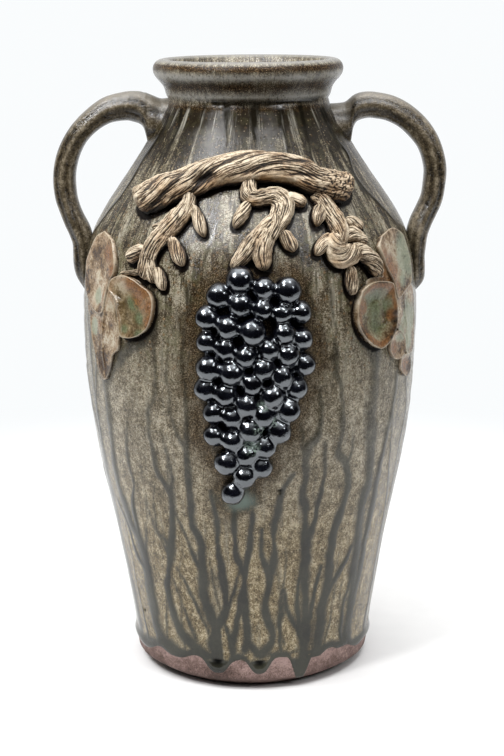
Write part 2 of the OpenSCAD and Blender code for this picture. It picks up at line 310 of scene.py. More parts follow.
def cells(spot, scale):
    return add(spot.tree, "ShaderNodeTexVoronoi", "Distance", {"Vector": spot, "Scale": scale})


def step(value, low, high):
    """A soft step from 0 at low to 1 at high."""
    inputs = {"Value": value, "From Min": low, "From Max": high}
    return add(value.tree, "ShaderNodeMapRange", "Result", inputs, interpolation_type="SMOOTHSTEP")


def ramp(value, stops):
    """A colour for each value, between stops of (value, colour)."""
    made = new_node(value.tree, "ShaderNodeValToRGB", {"Fac": value})
    elements = made.color_ramp.elements
    while len(elements) < len(stops):
        elements.new(1.0)
    for element, (position, colour) in zip(elements, stops):
        element.position = position
        element.color = (*colour, 1)
    return Value(made.outputs["Color"])


def blend(share, a, b, kind="MIX"):
    """Colour b over colour a by a share."""
    a, b = (colour if isinstance(colour, Value) else (*colour, 1) for colour in (a, b))
    return add(share.tree, "ShaderNodeMix", 2, {0: share, 6: a, 7: b}, data_type="RGBA", blend_type=kind)


def layered(colour, *layers):
    """A colour with others laid over it in turn, each as (share, colour)."""
    for share, top in layers:
        colour = blend(share, colour, top)
    return colour


def new_material(name):
    """A material, its nodes, and the place of each point of its surface."""
    material = bpy.data.materials.new(name)
    material.use_nodes = True
    tree = material.node_tree
    tree.nodes.clear()
    return material, tree, add(tree, "ShaderNodeTexCoord", "Object", {})


def surface(material, colour, roughness, height, depth, **fixed):
    """The material's shader: a colour, a roughness and a bump that is depth metres deep."""
    tree = material.node_tree
    bump = add(tree, "ShaderNodeBump", "Normal", {"Height": height, "Strength": 1.0, "Distance": depth})
    inputs = {"Base Color": colour, "Roughness": roughness, "Normal": bump}
    inputs.update({name.replace("_", " "): value for name, value in fixed.items()})
    shader = add(tree, "ShaderNodeBsdfPrincipled", "BSDF", inputs)
    new_node(tree, "ShaderNodeOutputMaterial", {"Surface": shader})
    return material


TAN_STOPS = [
    (0.32, (0.046, 0.033, 0.013)),
    (0.44, (0.138, 0.101, 0.048)),
    (0.55, (0.240, 0.186, 0.099)),
    (0.69, (0.47, 0.40, 0.268)),
]
MID_STOPS = [
    (0.32, (0.058, 0.046, 0.025)),
    (0.44, (0.160, 0.132, 0.086)),
    (0.55, (0.254, 0.216, 0.152)),
    (0.69, (0.48, 0.432, 0.332)),
]
UPPER_STOPS = [
    (0.28, (0.014, 0.010, 0.005)),
    (0.42, (0.072, 0.055, 0.031)),
    (0.56, (0.195, 0.163, 0.108)),
    (0.71, (0.44, 0.40, 0.305)),
]
RUN_STOPS = [(0.35, (0.012, 0.0125, 0.010)), (0.65, (0.033, 0.034, 0.025))]
RUST_STOPS = [(0.42, (0.011, 0.006, 0.003)), (0.57, (0.060, 0.034, 0.013)), (0.71, (0.30, 0.20, 0.10))]
CLAY_STOPS = [(0.34, (0.045, 0.025, 0.019)), (0.5, (0.155, 0.098, 0.083)), (0.66, (0.36, 0.25, 0.225))]
DARK_VEIL = (0.075, 0.072, 0.058)
PAINTED_STREAK_SHEEN = (0.42, 0.40, 0.34)
SOOT = (0.020, 0.0145, 0.007)
OLIVE = (0.092, 0.086, 0.041)
EMBER = (0.20, 0.110, 0.042)
FLECK = (0.62, 0.50, 0.32)
PEPPER = (0.022, 0.015, 0.009)
PAINTED_SHEEN_GREY = (0.36, 0.35, 0.31)
RIM_GREY = (0.215, 0.207, 0.186)
UPPER_RUN = (0.007, 0.0058, 0.0034)
HALO_GREEN = (0.19, 0.25, 0.22)
PAINTED_CONTACT_SHADOW = (0.006, 0.004, 0.003)
POOL_AND_SHADE_BLACK = (0.006, 0.007, 0.010)
PIT_BLACK = (0.003, 0.003, 0.003)
# Heights, in metres, between which the glaze changes
GREY_FROM = (0.10, 0.20)
DARK_FROM = (0.235, 0.37)
BELT_FROM = (0.215, 0.265)
BELT_TO = (0.31, 0.38)
STRONG_RUNS_TO = (0.25, 0.13)
SOOTY_FROM = (0.366, 0.395)
BLACK_FROM = (0.396, 0.412)
SOOTY_TO = (0.420, 0.4165)
NECK_FROM = (0.416, 0.428)
RIM_FROM = (0.4474, 0.4494)


def jar_material():
    """A runny ash glaze: speckled tan broken by dark blue-grey runs, over a foot of bare clay."""
    material, tree, spot = new_material("jar_glaze")
    x, y, z = split(spot)
    ring = add(tree, "ShaderNodeVectorMath", "Vector", {0: combine(x, y, 0.0)}, operation="NORMALIZE")
    ring_x, ring_y, _ = split(ring)
    streak_spot = combine(ring_x, ring_y, z * 1.1)
    fine = grain(spot, 1300, 2, 0.6)
    coarse = grain(spot, 480, 3, 0.65)
    cloud = grain(spot, 28, 3)
    streak = grain(streak_spot, 15, 5, 0.62)
    blotch = grain(combine(ring_x, ring_y, z * 3.2), 11, 4, 0.6)
    stain = grain(streak_spot, 40, 4, 0.6)
    patch = grain(spot, 150, 3, 0.6)
    speckle = fine * 0.95 + coarse * 0.6 - 0.275 + (patch - 0.5) * 0.55

    # The glaze by height: tan and grey below, darker above, sooty under the neck, pale on the rim; painted
    # sheen in pale bands and streaks on the neck
    neck = step(z, *NECK_FROM)
    sooty = (step(z, *SOOTY_FROM) + step(z, *BLACK_FROM)) * step(z, *SOOTY_TO) * 0.5
    rim = step(z, *RIM_FROM)
    high = step(cloud * 0.06 + z, *DARK_FROM)
    low = speckle + (blotch - 0.5) * 0.35 + (streak - 0.5) * 0.3 + (stain - 0.5) * 0.25
    lower = blend(step(z, *GREY_FROM), ramp(low, TAN_STOPS), ramp(low, MID_STOPS))
    mottle = speckle + (streak - 0.5) * (sooty + 1.3 - neck) + (blotch - 0.5) * 0.7
    mottle = mottle + neck * 0.02 - sooty * 0.55
    belt = step(z, *BELT_FROM) * (1.0 - step(z, *BELT_TO) * 0.7)
    gold = field(tree, "rust") * step(coarse, 0.12, 0.45)
    body = layered(
        blend(high, lower, ramp(mottle, UPPER_STOPS)),
        # Streaks: dark on the body, and pale under the neck as painted sheen
        (step(streak, 0.54, 0.68) * (sooty * 0.3 + 0.45), blend(sooty, DARK_VEIL, PAINTED_STREAK_SHEEN)),
        (step(stain, 0.52, 0.6) * (high * 0.6 + 0.2), SOOT),
        (step(patch, 0.48, 0.62) * belt * 0.6, OLIVE),
        (step(cells(spot, 210), 0.28, 0.14) * belt * 0.5, EMBER),
        (step(cells(spot, 330), 0.2, 0.08) * (0.45 - sooty * 0.25), FLECK),
        (step(cells(spot, 290), 0.2, 0.08) * 0.8, PEPPER),
        (gold, ramp(fine, RUST_STOPS)),
        # Pale grey bands of painted reflection on the lip and neck
        (field(tree, "pale") * step(coarse, 0.2, 0.55), PAINTED_SHEEN_GREY),
        (rim * 0.75, RIM_GREY),
    )

    # Runs, where glaze has gathered, and painted shade beside the applied clay and round the grapes
    run = field(tree, "run") + (coarse - 0.5) * 0.45 + (blotch - 0.5) * 0.8
    bold = most(step(z, *STRONG_RUNS_TO), high * 0.8)
    dark = step(run, 0.05, 0.7) * (bold * 0.4 + 0.57)
    # Painted contact shadow beside the applied clay and the leaves
    seam = step(field(tree, "seam") + (coarse - 0.5) * 0.4, 0.1, 0.8)
    # Black at the grapes: their glaze pooled at their feet, with painted shade in the gaps between them
    pool_and_shade = field(tree, "pool_and_shade")
    pit = field(tree, "pit")
    glaze = layered(
        body,
        (dark, blend(high, ramp(cloud, RUN_STOPS), UPPER_RUN)),
        (field(tree, "halo") * 0.85, HALO_GREEN),
        # Painted contact shadow beside the applied clay and the leaves
        (seam, PAINTED_CONTACT_SHADOW),
        (pool_and_shade, POOL_AND_SHADE_BLACK),
        (pit, PIT_BLACK),
    )
    dull = most(seam * 0.85, pit, gold * 0.75, dark * sooty)
    shine = (high * 0.2 + 0.3 - sooty * 0.43) * (1.0 - dull)

    # The bare foot
    bare = step(field(tree, "bare") + (coarse - 0.5) * 0.12, 0.46, 0.54)
    # The bare clay gets darker towards the base
    tone_shift = calc("MINIMUM", z, 0.02) * 9.0
    clay = ramp(tone_shift + cloud * 0.5 + speckle * 0.5 - 0.12, CLAY_STOPS)
    colour = blend(bare, glaze, clay)
    gloss = coarse * 0.12 + 0.03
    roughness = gloss + bare * (0.8 - gloss)
    still = most(dark, pool_and_shade, sooty * 0.8, rim * 0.8)
    height = speckle * (1.2 - still)
    return surface(material, colour, roughness, height, 0.00028, IOR=1.6, Specular_IOR_Level=shine)


HANDLE_STOPS = [
    (0.28, (0.008, 0.006, 0.004)),
    (0.43, (0.040, 0.030, 0.017)),
    (0.57, (0.098, 0.077, 0.048)),
    (0.73, (0.26, 0.218, 0.155)),
]
PAINTED_TOP_LIGHT = (0.195, 0.177, 0.147)
HANDLE_PEPPER = (0.02, 0.014, 0.008)


def handle_material():
    """The same glaze on the handles, thinner and browner, breaking pale along the ridges, with painted top
    light.
    """
    material, tree, spot = new_material("handle_glaze")
    coarse = grain(spot, 260, 3, 0.65)
    mottle = grain(spot, 900, 2, 0.6) * 0.6 + coarse * 0.6 + grain(spot, 45, 3) * 0.5 - 0.35
    colour = layered(
        ramp(field(tree, "ridge") * 0.16 + mottle, HANDLE_STOPS),
        # Upper faces lighter: painted top light
        (field(tree, "top") * 0.65, PAINTED_TOP_LIGHT),
        (step(cells(spot, 230), 0.14, 0.06) * 0.7, HANDLE_PEPPER),
    )
    return surface(material, colour, coarse * 0.2 + 0.08, mottle, 0.0006, IOR=1.6)


VINE_STOPS = [
    (0.0, (0.66, 0.56, 0.42)),
    (0.19, (0.39, 0.305, 0.205)),
    (0.42, (0.13, 0.084, 0.045)),
    (0.75, (0.014, 0.009, 0.005)),
]


def clay_material(name, stain):
    """Matt bare clay, pale on its ridges and darker in its grooves, with painted shade where it meets the
    wall and on its lower side.
    """
    material, tree, spot = new_material(name)
    fine = grain(spot, 1100, 2, 0.6)
    coarse = grain(spot, 260, 4, 0.65)
    # Darker in the grooves, with painted contact shade where the clay meets the wall
    grooves_and_shade = field(tree, "cut") + (coarse - 0.5) * 0.75 + (fine - 0.5) * 0.6
    # Random stains, stained ends and painted shade on the lower sides
    burnt = most(step(grain(spot, 60, 3), 0.5, 0.68) * 0.55, field(tree, "burnt") * 0.95)
    colour = blend(burnt, ramp(grooves_and_shade, VINE_STOPS), stain, "MULTIPLY")
    return surface(material, colour, coarse * 0.25 + 0.45, coarse * 0.6 + fine * 0.4, 0.001, IOR=1.45)


LEAF_STOPS = [
    (0.32, (0.050, 0.025, 0.010)),
    (0.45, (0.185, 0.118, 0.060)),
    (0.57, (0.345, 0.255, 0.160)),
    (0.70, (0.56, 0.48, 0.36)),
]
OLIVE_STOPS = [(0.35, (0.080, 0.056, 0.022)), (0.65, (0.270, 0.210, 0.115))]
MOSS_STOPS = [(0.3, (0.040, 0.054, 0.023)), (0.72, (0.145, 0.196, 0.102))]
RED_STOPS = [(0.3, (0.080, 0.030, 0.008)), (0.72, (0.31, 0.140, 0.048))]
SAGE = (0.27, 0.31, 0.225)
LEAF_RIM = (0.44, 0.365, 0.265)
LEAF_PEPPER = (0.035, 0.022, 0.012)
LEAF_PAINTED_SHADOW = (0.016, 0.011, 0.006)


def leaf_material():
    """A satin brown glaze on the leaves, pooled green in the hollows and pale on the rims."""
    material, tree, spot = new_material("leaf_glaze")
    fine = grain(spot, 700, 3, 0.6)
    coarse = grain(spot, 170, 3, 0.6)
    mottle = coarse * 0.7 + grain(spot, 55, 3) * 1.1 - 0.7 + fine * 0.6
    loose = mottle - 0.5
    colour = layered(
        ramp(mottle, LEAF_STOPS),
        (field(tree, "olive"), ramp(mottle, OLIVE_STOPS)),
        (step(field(tree, "sage") + loose * 1.2, 0.2, 0.8) * 0.75, SAGE),
        (step(field(tree, "green") + loose * 1.4, 0.1, 1.0) * 0.8, ramp(fine, MOSS_STOPS)),
        (step(field(tree, "red") + loose * 1.2, 0.2, 0.85) * 0.9, ramp(fine, RED_STOPS)),
        (step(field(tree, "pale") + (coarse - 0.5) * 0.8, 0.3, 0.9) * 0.85, LEAF_RIM),
        (step(cells(spot, 210), 0.16, 0.07) * 0.65, LEAF_PEPPER),
        # Painted shadow along the lobes' tucked edges and the right front lobe's lower edge
        (field(tree, "cut") * 0.9, LEAF_PAINTED_SHADOW),
    )
    return surface(material, colour, coarse * 0.25 + 0.12, mottle, 0.0006, IOR=1.55)


INK_STOPS = [(0.35, (0.001, 0.001, 0.002)), (0.7, (0.004, 0.0045, 0.008))]
MILKY = (0.30, 0.38, 0.33)
BLUE_SHEEN = (0.88, 0.94, 1.0, 1.0)


def grape_material():
    """A thick glossy blue-black glaze."""
    material, tree, spot = new_material("grape_glaze")
    cloud = grain(spot, 90, 3)
    milk = field(tree, "milk") * step(grain(spot, 420, 3, 0.65), 0.4, 0.62)
    colour = blend(milk, ramp(cloud, INK_STOPS), MILKY)
    height = grain(spot, 260, 4, 0.6)
    return surface(material, colour, cloud * 0.14 + 0.06, height, 0.0003, IOR=2.1, Specular_Tint=BLUE_SHEEN)


# Runs of glaze on the wall

# Runs seen on the front: half widths at the top and bottom, then the line as (degrees from the front, height)
FRONT_RUNS = [
    (1.5, 4.8, [(-22.4, 257), (-21.9, 235), (-21, 210), (-22, 185), (-22.3, 150), (-22.7, 132), (-19.4, 118),
                (-19.7, 104), (-20.6, 80), (-17.7, 55), (-17.2, 35), (-16.4, 21)]),
    (1.1, 2.2, [(-27.7, 267), (-27.6, 237), (-27.2, 218), (-25.2, 203), (-22, 187)]),
    (1.2, 4.4, [(-33.4, 265), (-31.8, 247), (-32.5, 229), (-36.6, 205), (-35.9, 183), (-34.4, 169),
                (-29.7, 153), (-31.1, 131), (-33.5, 109), (-36.8, 88), (-39.3, 73), (-38, 58), (-35.6, 45),
                (-31.3, 36), (-23.5, 26)]),
    (1.3, 2.6, [(-46.5, 203), (-48.1, 186), (-48.9, 168), (-48.8, 154), (-51.8, 135), (-51.7, 108)]),
    (1.2, 1.2, [(-46.5, 203), (-35.4, 200), (-29, 196)]),
    (1.1, 2.2, [(-30.4, 194), (-29.4, 179), (-28.3, 166), (-29.7, 153)]),
    (3.2, 5.5, [(-58, 227), (-57.5, 207), (-58.5, 180), (-59.4, 153), (-58.3, 137), (-56, 119), (-51.7, 108),
                (-50.4, 86), (-51.2, 62), (-50.9, 43), (-46.9, 30), (-40, 23)]),
    (1.2, 2.2, [(-36.2, 160), (-38.7, 145), (-38.9, 122), (-34.8, 114), (-35.2, 99)]),
    (1.1, 1.6, [(-43, 148), (-42.6, 135), (-38.9, 122)]),
    (1.8, 3.6, [(-14.2, 160), (-12.9, 138), (-12.7, 114), (-11.9, 95), (-11.3, 66), (-16.3, 49)]),
    (1.8, 3.2, [(-6.5, 145), (-6.1, 115), (-3.5, 96), (-3.3, 76), (-1.9, 51), (-3.1, 33)]),
    (1.6, 3.6, [(4, 130), (4.1, 110), (7, 94), (6.3, 81), (5.9, 66), (7.5, 56), (9.4, 41), (4.5, 29)]),
    (1.6, 2.6, [(14.8, 172), (10.6, 158), (9.2, 143), (8.6, 125), (8.9, 105), (7.1, 89)]),
    (1.6, 4.6, [(23.5, 232), (23.4, 210), (22, 197), (19.4, 189), (19.2, 155), (21.1, 122), (22, 93),
                (23.6, 63), (25, 43), (22.5, 20)]),
    (1.2, 1.8, [(16.6, 208), (18.1, 190), (19.1, 180)]),
    (1.5, 2.6, [(25.2, 193), (26.3, 175), (25.5, 153), (24.1, 135), (21.9, 119)]),
    (1.6, 4.6, [(28.3, 266), (28.7, 245), (30.7, 232), (31.7, 199), (31.4, 184), (34.9, 174), (37, 154),
                (33.9, 123), (33.1, 104), (33.9, 87), (32.6, 64), (31.9, 28)]),
    (1.2, 1.8, [(37.9, 192), (36.5, 180), (35.5, 170)]),
    (4.2, 5.6, [(45.9, 255), (45.7, 236), (45, 211), (46.3, 185), (48, 158), (46.8, 141), (47, 122),
                (48.3, 102), (48.8, 82), (50.3, 61), (50.7, 42), (50.3, 27), (46.9, 16)]),
    (1.8, 2.6, [(44.8, 106), (40.2, 90), (36.5, 80), (34.1, 69)]),
    (1.4, 3.0, [(57.9, 205), (60.5, 169), (67.1, 130), (72, 75), (73, 24)]),
    (1.6, 2.0, [(13.1, 81), (14.4, 66), (17, 57), (22.1, 46)]),
    (3.0, 4.6, [(-32.2, 292), (-33, 277), (-37.4, 263.5), (-44.2, 256), (-48.6, 246), (-54.6, 234),
                (-57.9, 224)]),
    (2.4, 4.4, [(36.6, 287), (36.6, 276), (39.2, 265), (43.3, 257), (45.8, 250)]),
    (1.6, 2.2, [(-64.2, 133), (-59.2, 115), (-56.7, 95), (-52, 86)]),
    (1.1, 1.8, [(-42.6, 160), (-41.3, 133), (-39.5, 121), (-34, 103)]),
    (1.3, 1.8, [(-35.5, 88), (-32.7, 72), (-30.6, 60), (-26.4, 36)]),
    (1.3, 2.0, [(-31.8, 94), (-26.4, 74), (-22.9, 60), (-18.4, 38)]),
    (1.1, 1.8, [(-23.5, 89), (-20.6, 76), (-20.8, 63)]),
    (1.2, 2.4, [(-5.5, 121), (-4.6, 101), (-7.9, 81), (-10.1, 63), (-14.2, 51)]),
    (1.3, 1.7, [(12.6, 80), (13.1, 64), (12.4, 50), (15.5, 36)]),
    (1.5, 2.4, [(29.2, 96), (27.6, 77), (26.5, 55)]),
    (1.5, 2.6, [(-4.3, 98), (-3.2, 82), (-2.1, 65), (-2.7, 45), (2.5, 30)]),
    (1.8, 2.2, [(24, 26), (36.1, 28), (48.6, 26)]),
    (1.6, 2.4, [(-68.2, 23), (-48.7, 26), (-34, 25), (-19, 26)]),
    (1.4, 1.8, [(3, 28), (15.7, 29), (22, 30)]),
    (1.2, 1.6, [(-20.1, 305), (-19, 290), (-22.7, 283), (-21.6, 267), (-22.9, 257)]),
    (1.0, 1.0, [(-22.7, 238), (-27.1, 237), (-30.8, 238)]),
    (1.2, 1.3, [(-45.2, 332), (-45.5, 324), (-46, 314)]),
    (1.3, 1.4, [(20.4, 307), (18.4, 300), (20.4, 293), (20.7, 282)]),
    (1.8, 1.4, [(27, 254), (28, 248), (27.6, 240)]),
    (1.4, 1.4, [(21.7, 234), (23.5, 234), (25.4, 233)]),
    (0.9, 0.9, [(19.8, 253), (27.1, 251), (40.5, 247)]),
    (1.5, 1.1, [(-11.3, 346), (-13.9, 328), (-15.8, 313), (-14.3, 304)]),
    (1.3, 1.0, [(17.6, 328), (18.1, 311), (20.3, 294)]),
    (1.4, 1.3, [(26.3, 320), (26.9, 300), (28.3, 268)]),
    (1.2, 1.1, [(-28.8, 307), (-27, 287), (-27.7, 266)]),
    (1.2, 1.4, [(-21.5, 308), (-20.3, 288), (-22.4, 258)]),
]
# Dark streaks that start in the groove under the neck
NECK_RUNS = [
    (1.8, 2.0, [(-24, 422.2), (0, 421.8), (30, 421.8), (58, 422.7)]),
    (2.2, 1.2, [(-15.5, 420), (-13.9, 408), (-13.2, 394)]),
    (2.6, 1.4, [(4.5, 420), (3.4, 408), (4.1, 393)]),
    (2.0, 1.4, [(22.4, 420), (20.9, 404), (21.2, 390)]),
    (2.0, 1.2, [(38.9, 418), (35.4, 400), (33.9, 378)]),
    (2.4, 1.9, [(60.5, 414), (60, 395), (62.5, 384), (57.5, 370), (60, 360), (64, 350), (68.5, 341),
                (73, 330)]),
    (1.4, 1.0, [(49.3, 389), (50.9, 372), (50.4, 355), (51.5, 336)]),
    (1.6, 1.2, [(-51.2, 416), (-47.2, 403), (-50.8, 389), (-52.2, 366)]),
    (1.4, 1.0, [(-30.9, 420), (-30.5, 405)]),
    (2.0, 1.9, [(-66, 412), (-64.3, 398), (-69, 382), (-68, 364), (-68.5, 353), (-73, 343), (-76, 335),
                (-81, 325)]),
    (1.3, 1.0, [(-58.5, 362), (-52.1, 346), (-49.5, 333)]),
]
# Directions of the streaks under the neck that the front doesn't show
BACK_STREAKS = [84, 97, 113, 128, 141, 158, 173, -83, -99, -112, -129, -147, -160, -172]
# Their line, as (degrees to the side, height, half width)
STREAK_LINE = [(0, 420, 2.0), (2, 400, 1.5), (0, 372, 1.1)]
# Runs that pour down by themselves: heights between which they start, and half widths
SIDE_TOPS = (140, 330)
SIDE_WIDTHS = (1.0, 1.7)
THIN_TOPS = (70, 215)
THIN_WIDTHS = (0.7, 1.1)
FRONT_SHARE = 62
RUN_STEP = 1.5
THIN_RUN = 2.0
LOW_RUN = 0.05
LOW_RUN_Z = (170, 70)
DROP_STEP = 4.0
DROP_SPACING = 4.6
THIN_SPACING = 5.0
LOW_SHARE = 0.8
DROP_PULL = 0.055
DROP_REACH = 8.0
DROP_SCATTER = 1.8
DROP_SWAY = 0.16
DROP_CALM = 0.86
DROP_GROWTH = 0.0045
WIDEST_DROP = 5.0
JOIN_GAP = 1.6
RUN_END = 22.0


def poured_runs(angles, tops, widths, seed):
    """Runs made by drops that slide down, lean towards each other and join."""
    rng = np.random.default_rng(seed)
    drops = [
        {"angle": a + rng.uniform(-DROP_SCATTER, DROP_SCATTER), "drift": 0.0, "width": rng.uniform(*widths),
         "top": rng.uniform(*tops), "line": [], "alive": True}
        for a in angles
    ]
    for z in np.arange(max(d["top"] for d in drops), RUN_END, -DROP_STEP):
        live = sorted((d for d in drops if d["alive"] and d["top"] >= z), key=lambda d: d["angle"])
        for left, right in zip(live, live[1:]):
            gap = right["angle"] - left["angle"]
            if gap < DROP_REACH:
                pull = DROP_PULL * (1 - gap / DROP_REACH) * DROP_STEP
                left["angle"] += pull
                right["angle"] -= pull
            if gap < JOIN_GAP:
                thin, thick = sorted((left, right), key=lambda d: d["width"])
                thick["width"] = min(math.hypot(thin["width"], thick["width"]), WIDEST_DROP)
                thin["line"].append((thick["angle"], z, thin["width"]))
                thin["alive"] = False
        for d in live:
            d["drift"] = DROP_CALM * d["drift"] + rng.normal(0, DROP_SWAY)
            d["angle"] += d["drift"]
            d["width"] += DROP_GROWTH * DROP_STEP
            if d["alive"]:
                d["line"].append((d["angle"], z, d["width"]))
    return [d["line"] for d in drops if len(d["line"]) > 3]


def all_runs():
    """Every run as rows of degrees from the front, height and half width."""
    drawn = [
        [(*p, w) for p, w in zip(line, np.linspace(top, LOW_SHARE * low, len(line)))]
        for top, low, line in FRONT_RUNS + NECK_RUNS
    ]
    necks = [[(a + off, z, width) for off, z, width in STREAK_LINE] for a in BACK_STREAKS]
    sides = poured_runs(np.arange(FRONT_SHARE, 360 - FRONT_SHARE, DROP_SPACING), SIDE_TOPS, SIDE_WIDTHS, 7)
    thin = poured_runs(np.arange(-FRONT_SHARE, FRONT_SHARE, THIN_SPACING), THIN_TOPS, THIN_WIDTHS, 8)
    return drawn + sides + thin + necks


def run_field(degrees, heights):
    """1 on the line of a run, a half at its edge and 0 clear of it, for rows of heights."""
    value = np.zeros((len(heights), len(degrees)))
    radius = wall_r(heights)
    spots = around(radius[:, None], np.radians(degrees)[None, :], heights[:, None])
    sway = 1.3 * noise(spots, 12, 23) + 0.5 * noise(spots, 5, 24)
    swell = 1 + 0.35 * noise(spots, 15, 29)
    for line in all_runs():
        angle, z, width = np.array(line).T
        nearby = turned(degrees - angle.mean()) + angle.mean()
        flat = np.stack([np.radians(angle) * wall_r(z), z, width], 1)
        side, z, width = even_line(flat, RUN_STEP).T
        width = width * (1 + LOW_RUN * smooth(*LOW_RUN_Z, z))
        reach = 3 * width.max() + 3
        rows = np.where((heights > z.min() - reach) & (heights < z.max() + reach))[0]
        for j in rows:
            near = np.abs(z - heights[j]) < reach
            if not near.any():
                continue
            off = (np.radians(nearby) * radius[j] + sway[j])[:, None] - side[near]
            gap = np.hypot(off, heights[j] - z[near]) / swell[j][:, None]
            bold = np.clip(width[near] / THIN_RUN, 0.3, 1)
            value[j] = np.maximum(value[j], ((1 - gap / (2 * width[near])) * bold).max(1))
    return np.clip(value, 0, 1)


# The grapes, as balls read from their solids

GRAPE_NODES = sorted(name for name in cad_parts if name.startswith("grape_row"))


def balls():
    """Middle and radius of every grape."""
    found = []
    for name in GRAPE_NODES:
        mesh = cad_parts[name].data
        co = np.array([v.co for v in mesh.vertices]) / MM
        same = np.unique(co.round(3), axis=0, return_inverse=True)[1].reshape(-1)
        edges = np.array([e.vertices for e in mesh.edges])
        # Points that are joined by edges get one label, the lowest among them
        label, fresh = None, same
        while label is None or (fresh != label).any():
            label = fresh
            shared = np.full(same.max() + 1, len(co))
            low = label[edges].min(1)
            np.minimum.at(shared, same, label)
            np.minimum.at(shared, same[edges[:, 0]], low)
            np.minimum.at(shared, same[edges[:, 1]], low)
            fresh = shared[same]
        for island in np.unique(label):
            p = co[label == island]
            rows = np.c_[2 * p, np.ones(len(p))]
            fit = np.linalg.lstsq(rows, (p * p).sum(1), rcond=None)[0]
            found.append((*fit[:3], math.sqrt(fit[3] + fit[:3] @ fit[:3])))
    return np.array(found)


BALLS = balls()


# The jar

FRONT_COLUMNS = 225
BACK_COLUMNS = 126
FRONT_REACH = 81.0
BELLY_STEP = 2.0
LIP_Z = 436.0
LIP_STEP = 1.4
LIP_INSIDE_Z = 447.0
INNER_STEP = 11.0
FLOOR_Z = INNER_ROWS[0][1]
# Rings left by the potter's hand: height, half height and how far each stands out
RINGS = [
    (436.5, 3.0, 0.5), (430.0, 2.6, -0.3), (422.0, 1.6, -1.3), (417.0, 2.6, 0.15),
    (283.0, 1.6, -0.3), (232.0, 1.6, -0.25), (198.0, 5.0, 0.25), (330.0, 6.0, 0.3),
]
# Rings where the glaze is thin and brown: height, half height and share
RUST_BANDS = [(446.4, 2.6, 2.4), (432.8, 3.6, 1.15), (418.6, 2.2, 0.7)]
# Pale grey rings of painted reflection on the lip and neck: height, half height and share
PAINTED_SHEEN_BANDS = [(439.5, 2.2, 1.0), (425.9, 2.0, 1.0)]
# Tongues of glaze at the foot: degrees from the front, lowest height and half width
TONGUES = [
    (-16.4, 13.5, 9), (3.3, 14, 8), (-39, 20, 14), (23, 7, 6.5), (47, 23, 9), (31, 22, 7),
    (88, 20, 9), (112, 12, 7), (137, 17, 10), (160, 14, 7), (182, 19, 8),
    (205, 12, 7), (228, 18, 9), (252, 14, 7), (274, 20, 9),
]
# Black spots where glaze has gathered: degrees from the front, height and size
DROPS = [(-16.4, 22.5, 2.6), (3.3, 22.5, 2.4), (-60, 47, 1.2), (10.2, 160, 1.2)]
DROP_WIDE = 1.7
GLAZE_LINE = 26.0
SIDE_DROP = 9.0
SIDE_DROP_FROM = (40, 64)
# Painted contact shadow beside the applied clay and the leaves: spacing, width, rounding at the ends, drop
# below them, and width at the leaves' edges
SEAM_STEP = 2.0
SEAM_W = 2.5
SEAM_BLUNT = 0.5
SEAM_DROP = 1.6
LEAF_GAP = 0.8
CROWD = 9.0
ROLL_H = 2.6
PIT_DEPTH = 1.0
RUN_RAISE = 0.55
RUN_TOP = 405.0
# The green halo under the bunch: its place below the lowest grape, and its size
HALO_OFF = (3, 0, -9)
HALO_SIZE = (18, 22, 14)


def glaze_line(degrees):
    """Height at which the glaze ends, round the foot."""
    line = GLAZE_LINE - SIDE_DROP * smooth(*SIDE_DROP_FROM, np.abs(turned(degrees)))
    line = line + 1.6 * noise(around(60.0, np.radians(degrees), 0.0), 11, 5)
    for angle, low, half_w in TONGUES:
        off = np.radians(turned(degrees - angle)) * wall_r(low) / half_w
        line = line + np.minimum(low - line, 0) * np.exp(-np.abs(off) ** 3)
    return line


def drop_field(degrees, height):
    """1 on the black spots and 0 clear of them."""
    value = 0.0
    for angle, z, size in DROPS:
        off = np.radians(turned(degrees - angle)) * wall_r(z) / DROP_WIDE
        value = np.maximum(value, hump(0, size, np.hypot(off, height - z)))
    return smooth(0.2, 0.8, value)


def contact_shadow_field(side, up):
    """1 where the applied clay meets the wall and shades it, fading to 0 clear of it."""
    strands = [VINE_ROWS] + [rows for rows, *_ in LEFT_TWIG + CENTRE_TWIG + RIGHT_TWIG]
    strands += [rows for rows, _ in BUDS.values()]
    for lobes in (LEFT_LOBES, RIGHT_LOBES):
        edge = lobes[-1][2]
        strands.append([(*point, LEAF_GAP) for point in edge + edge[:1]])
    value = np.zeros_like(side)
    for rows in strands:
        line = even_line(rows, SEAM_STEP)
        way = np.arange(len(line)) * SEAM_STEP
        end = np.clip(np.minimum(way, way[::-1]) / (SEAM_BLUNT * line[:, 2]), 0, 1)
        for (line_side, line_up, width), share in zip(line, np.sqrt(1 - (1 - end) ** 2)):
            gap = np.hypot(side - line_side, up - line_up + SEAM_DROP) - share * width / 2
            value = np.maximum(value, smooth(SEAM_W, 0.4, gap))
    return value


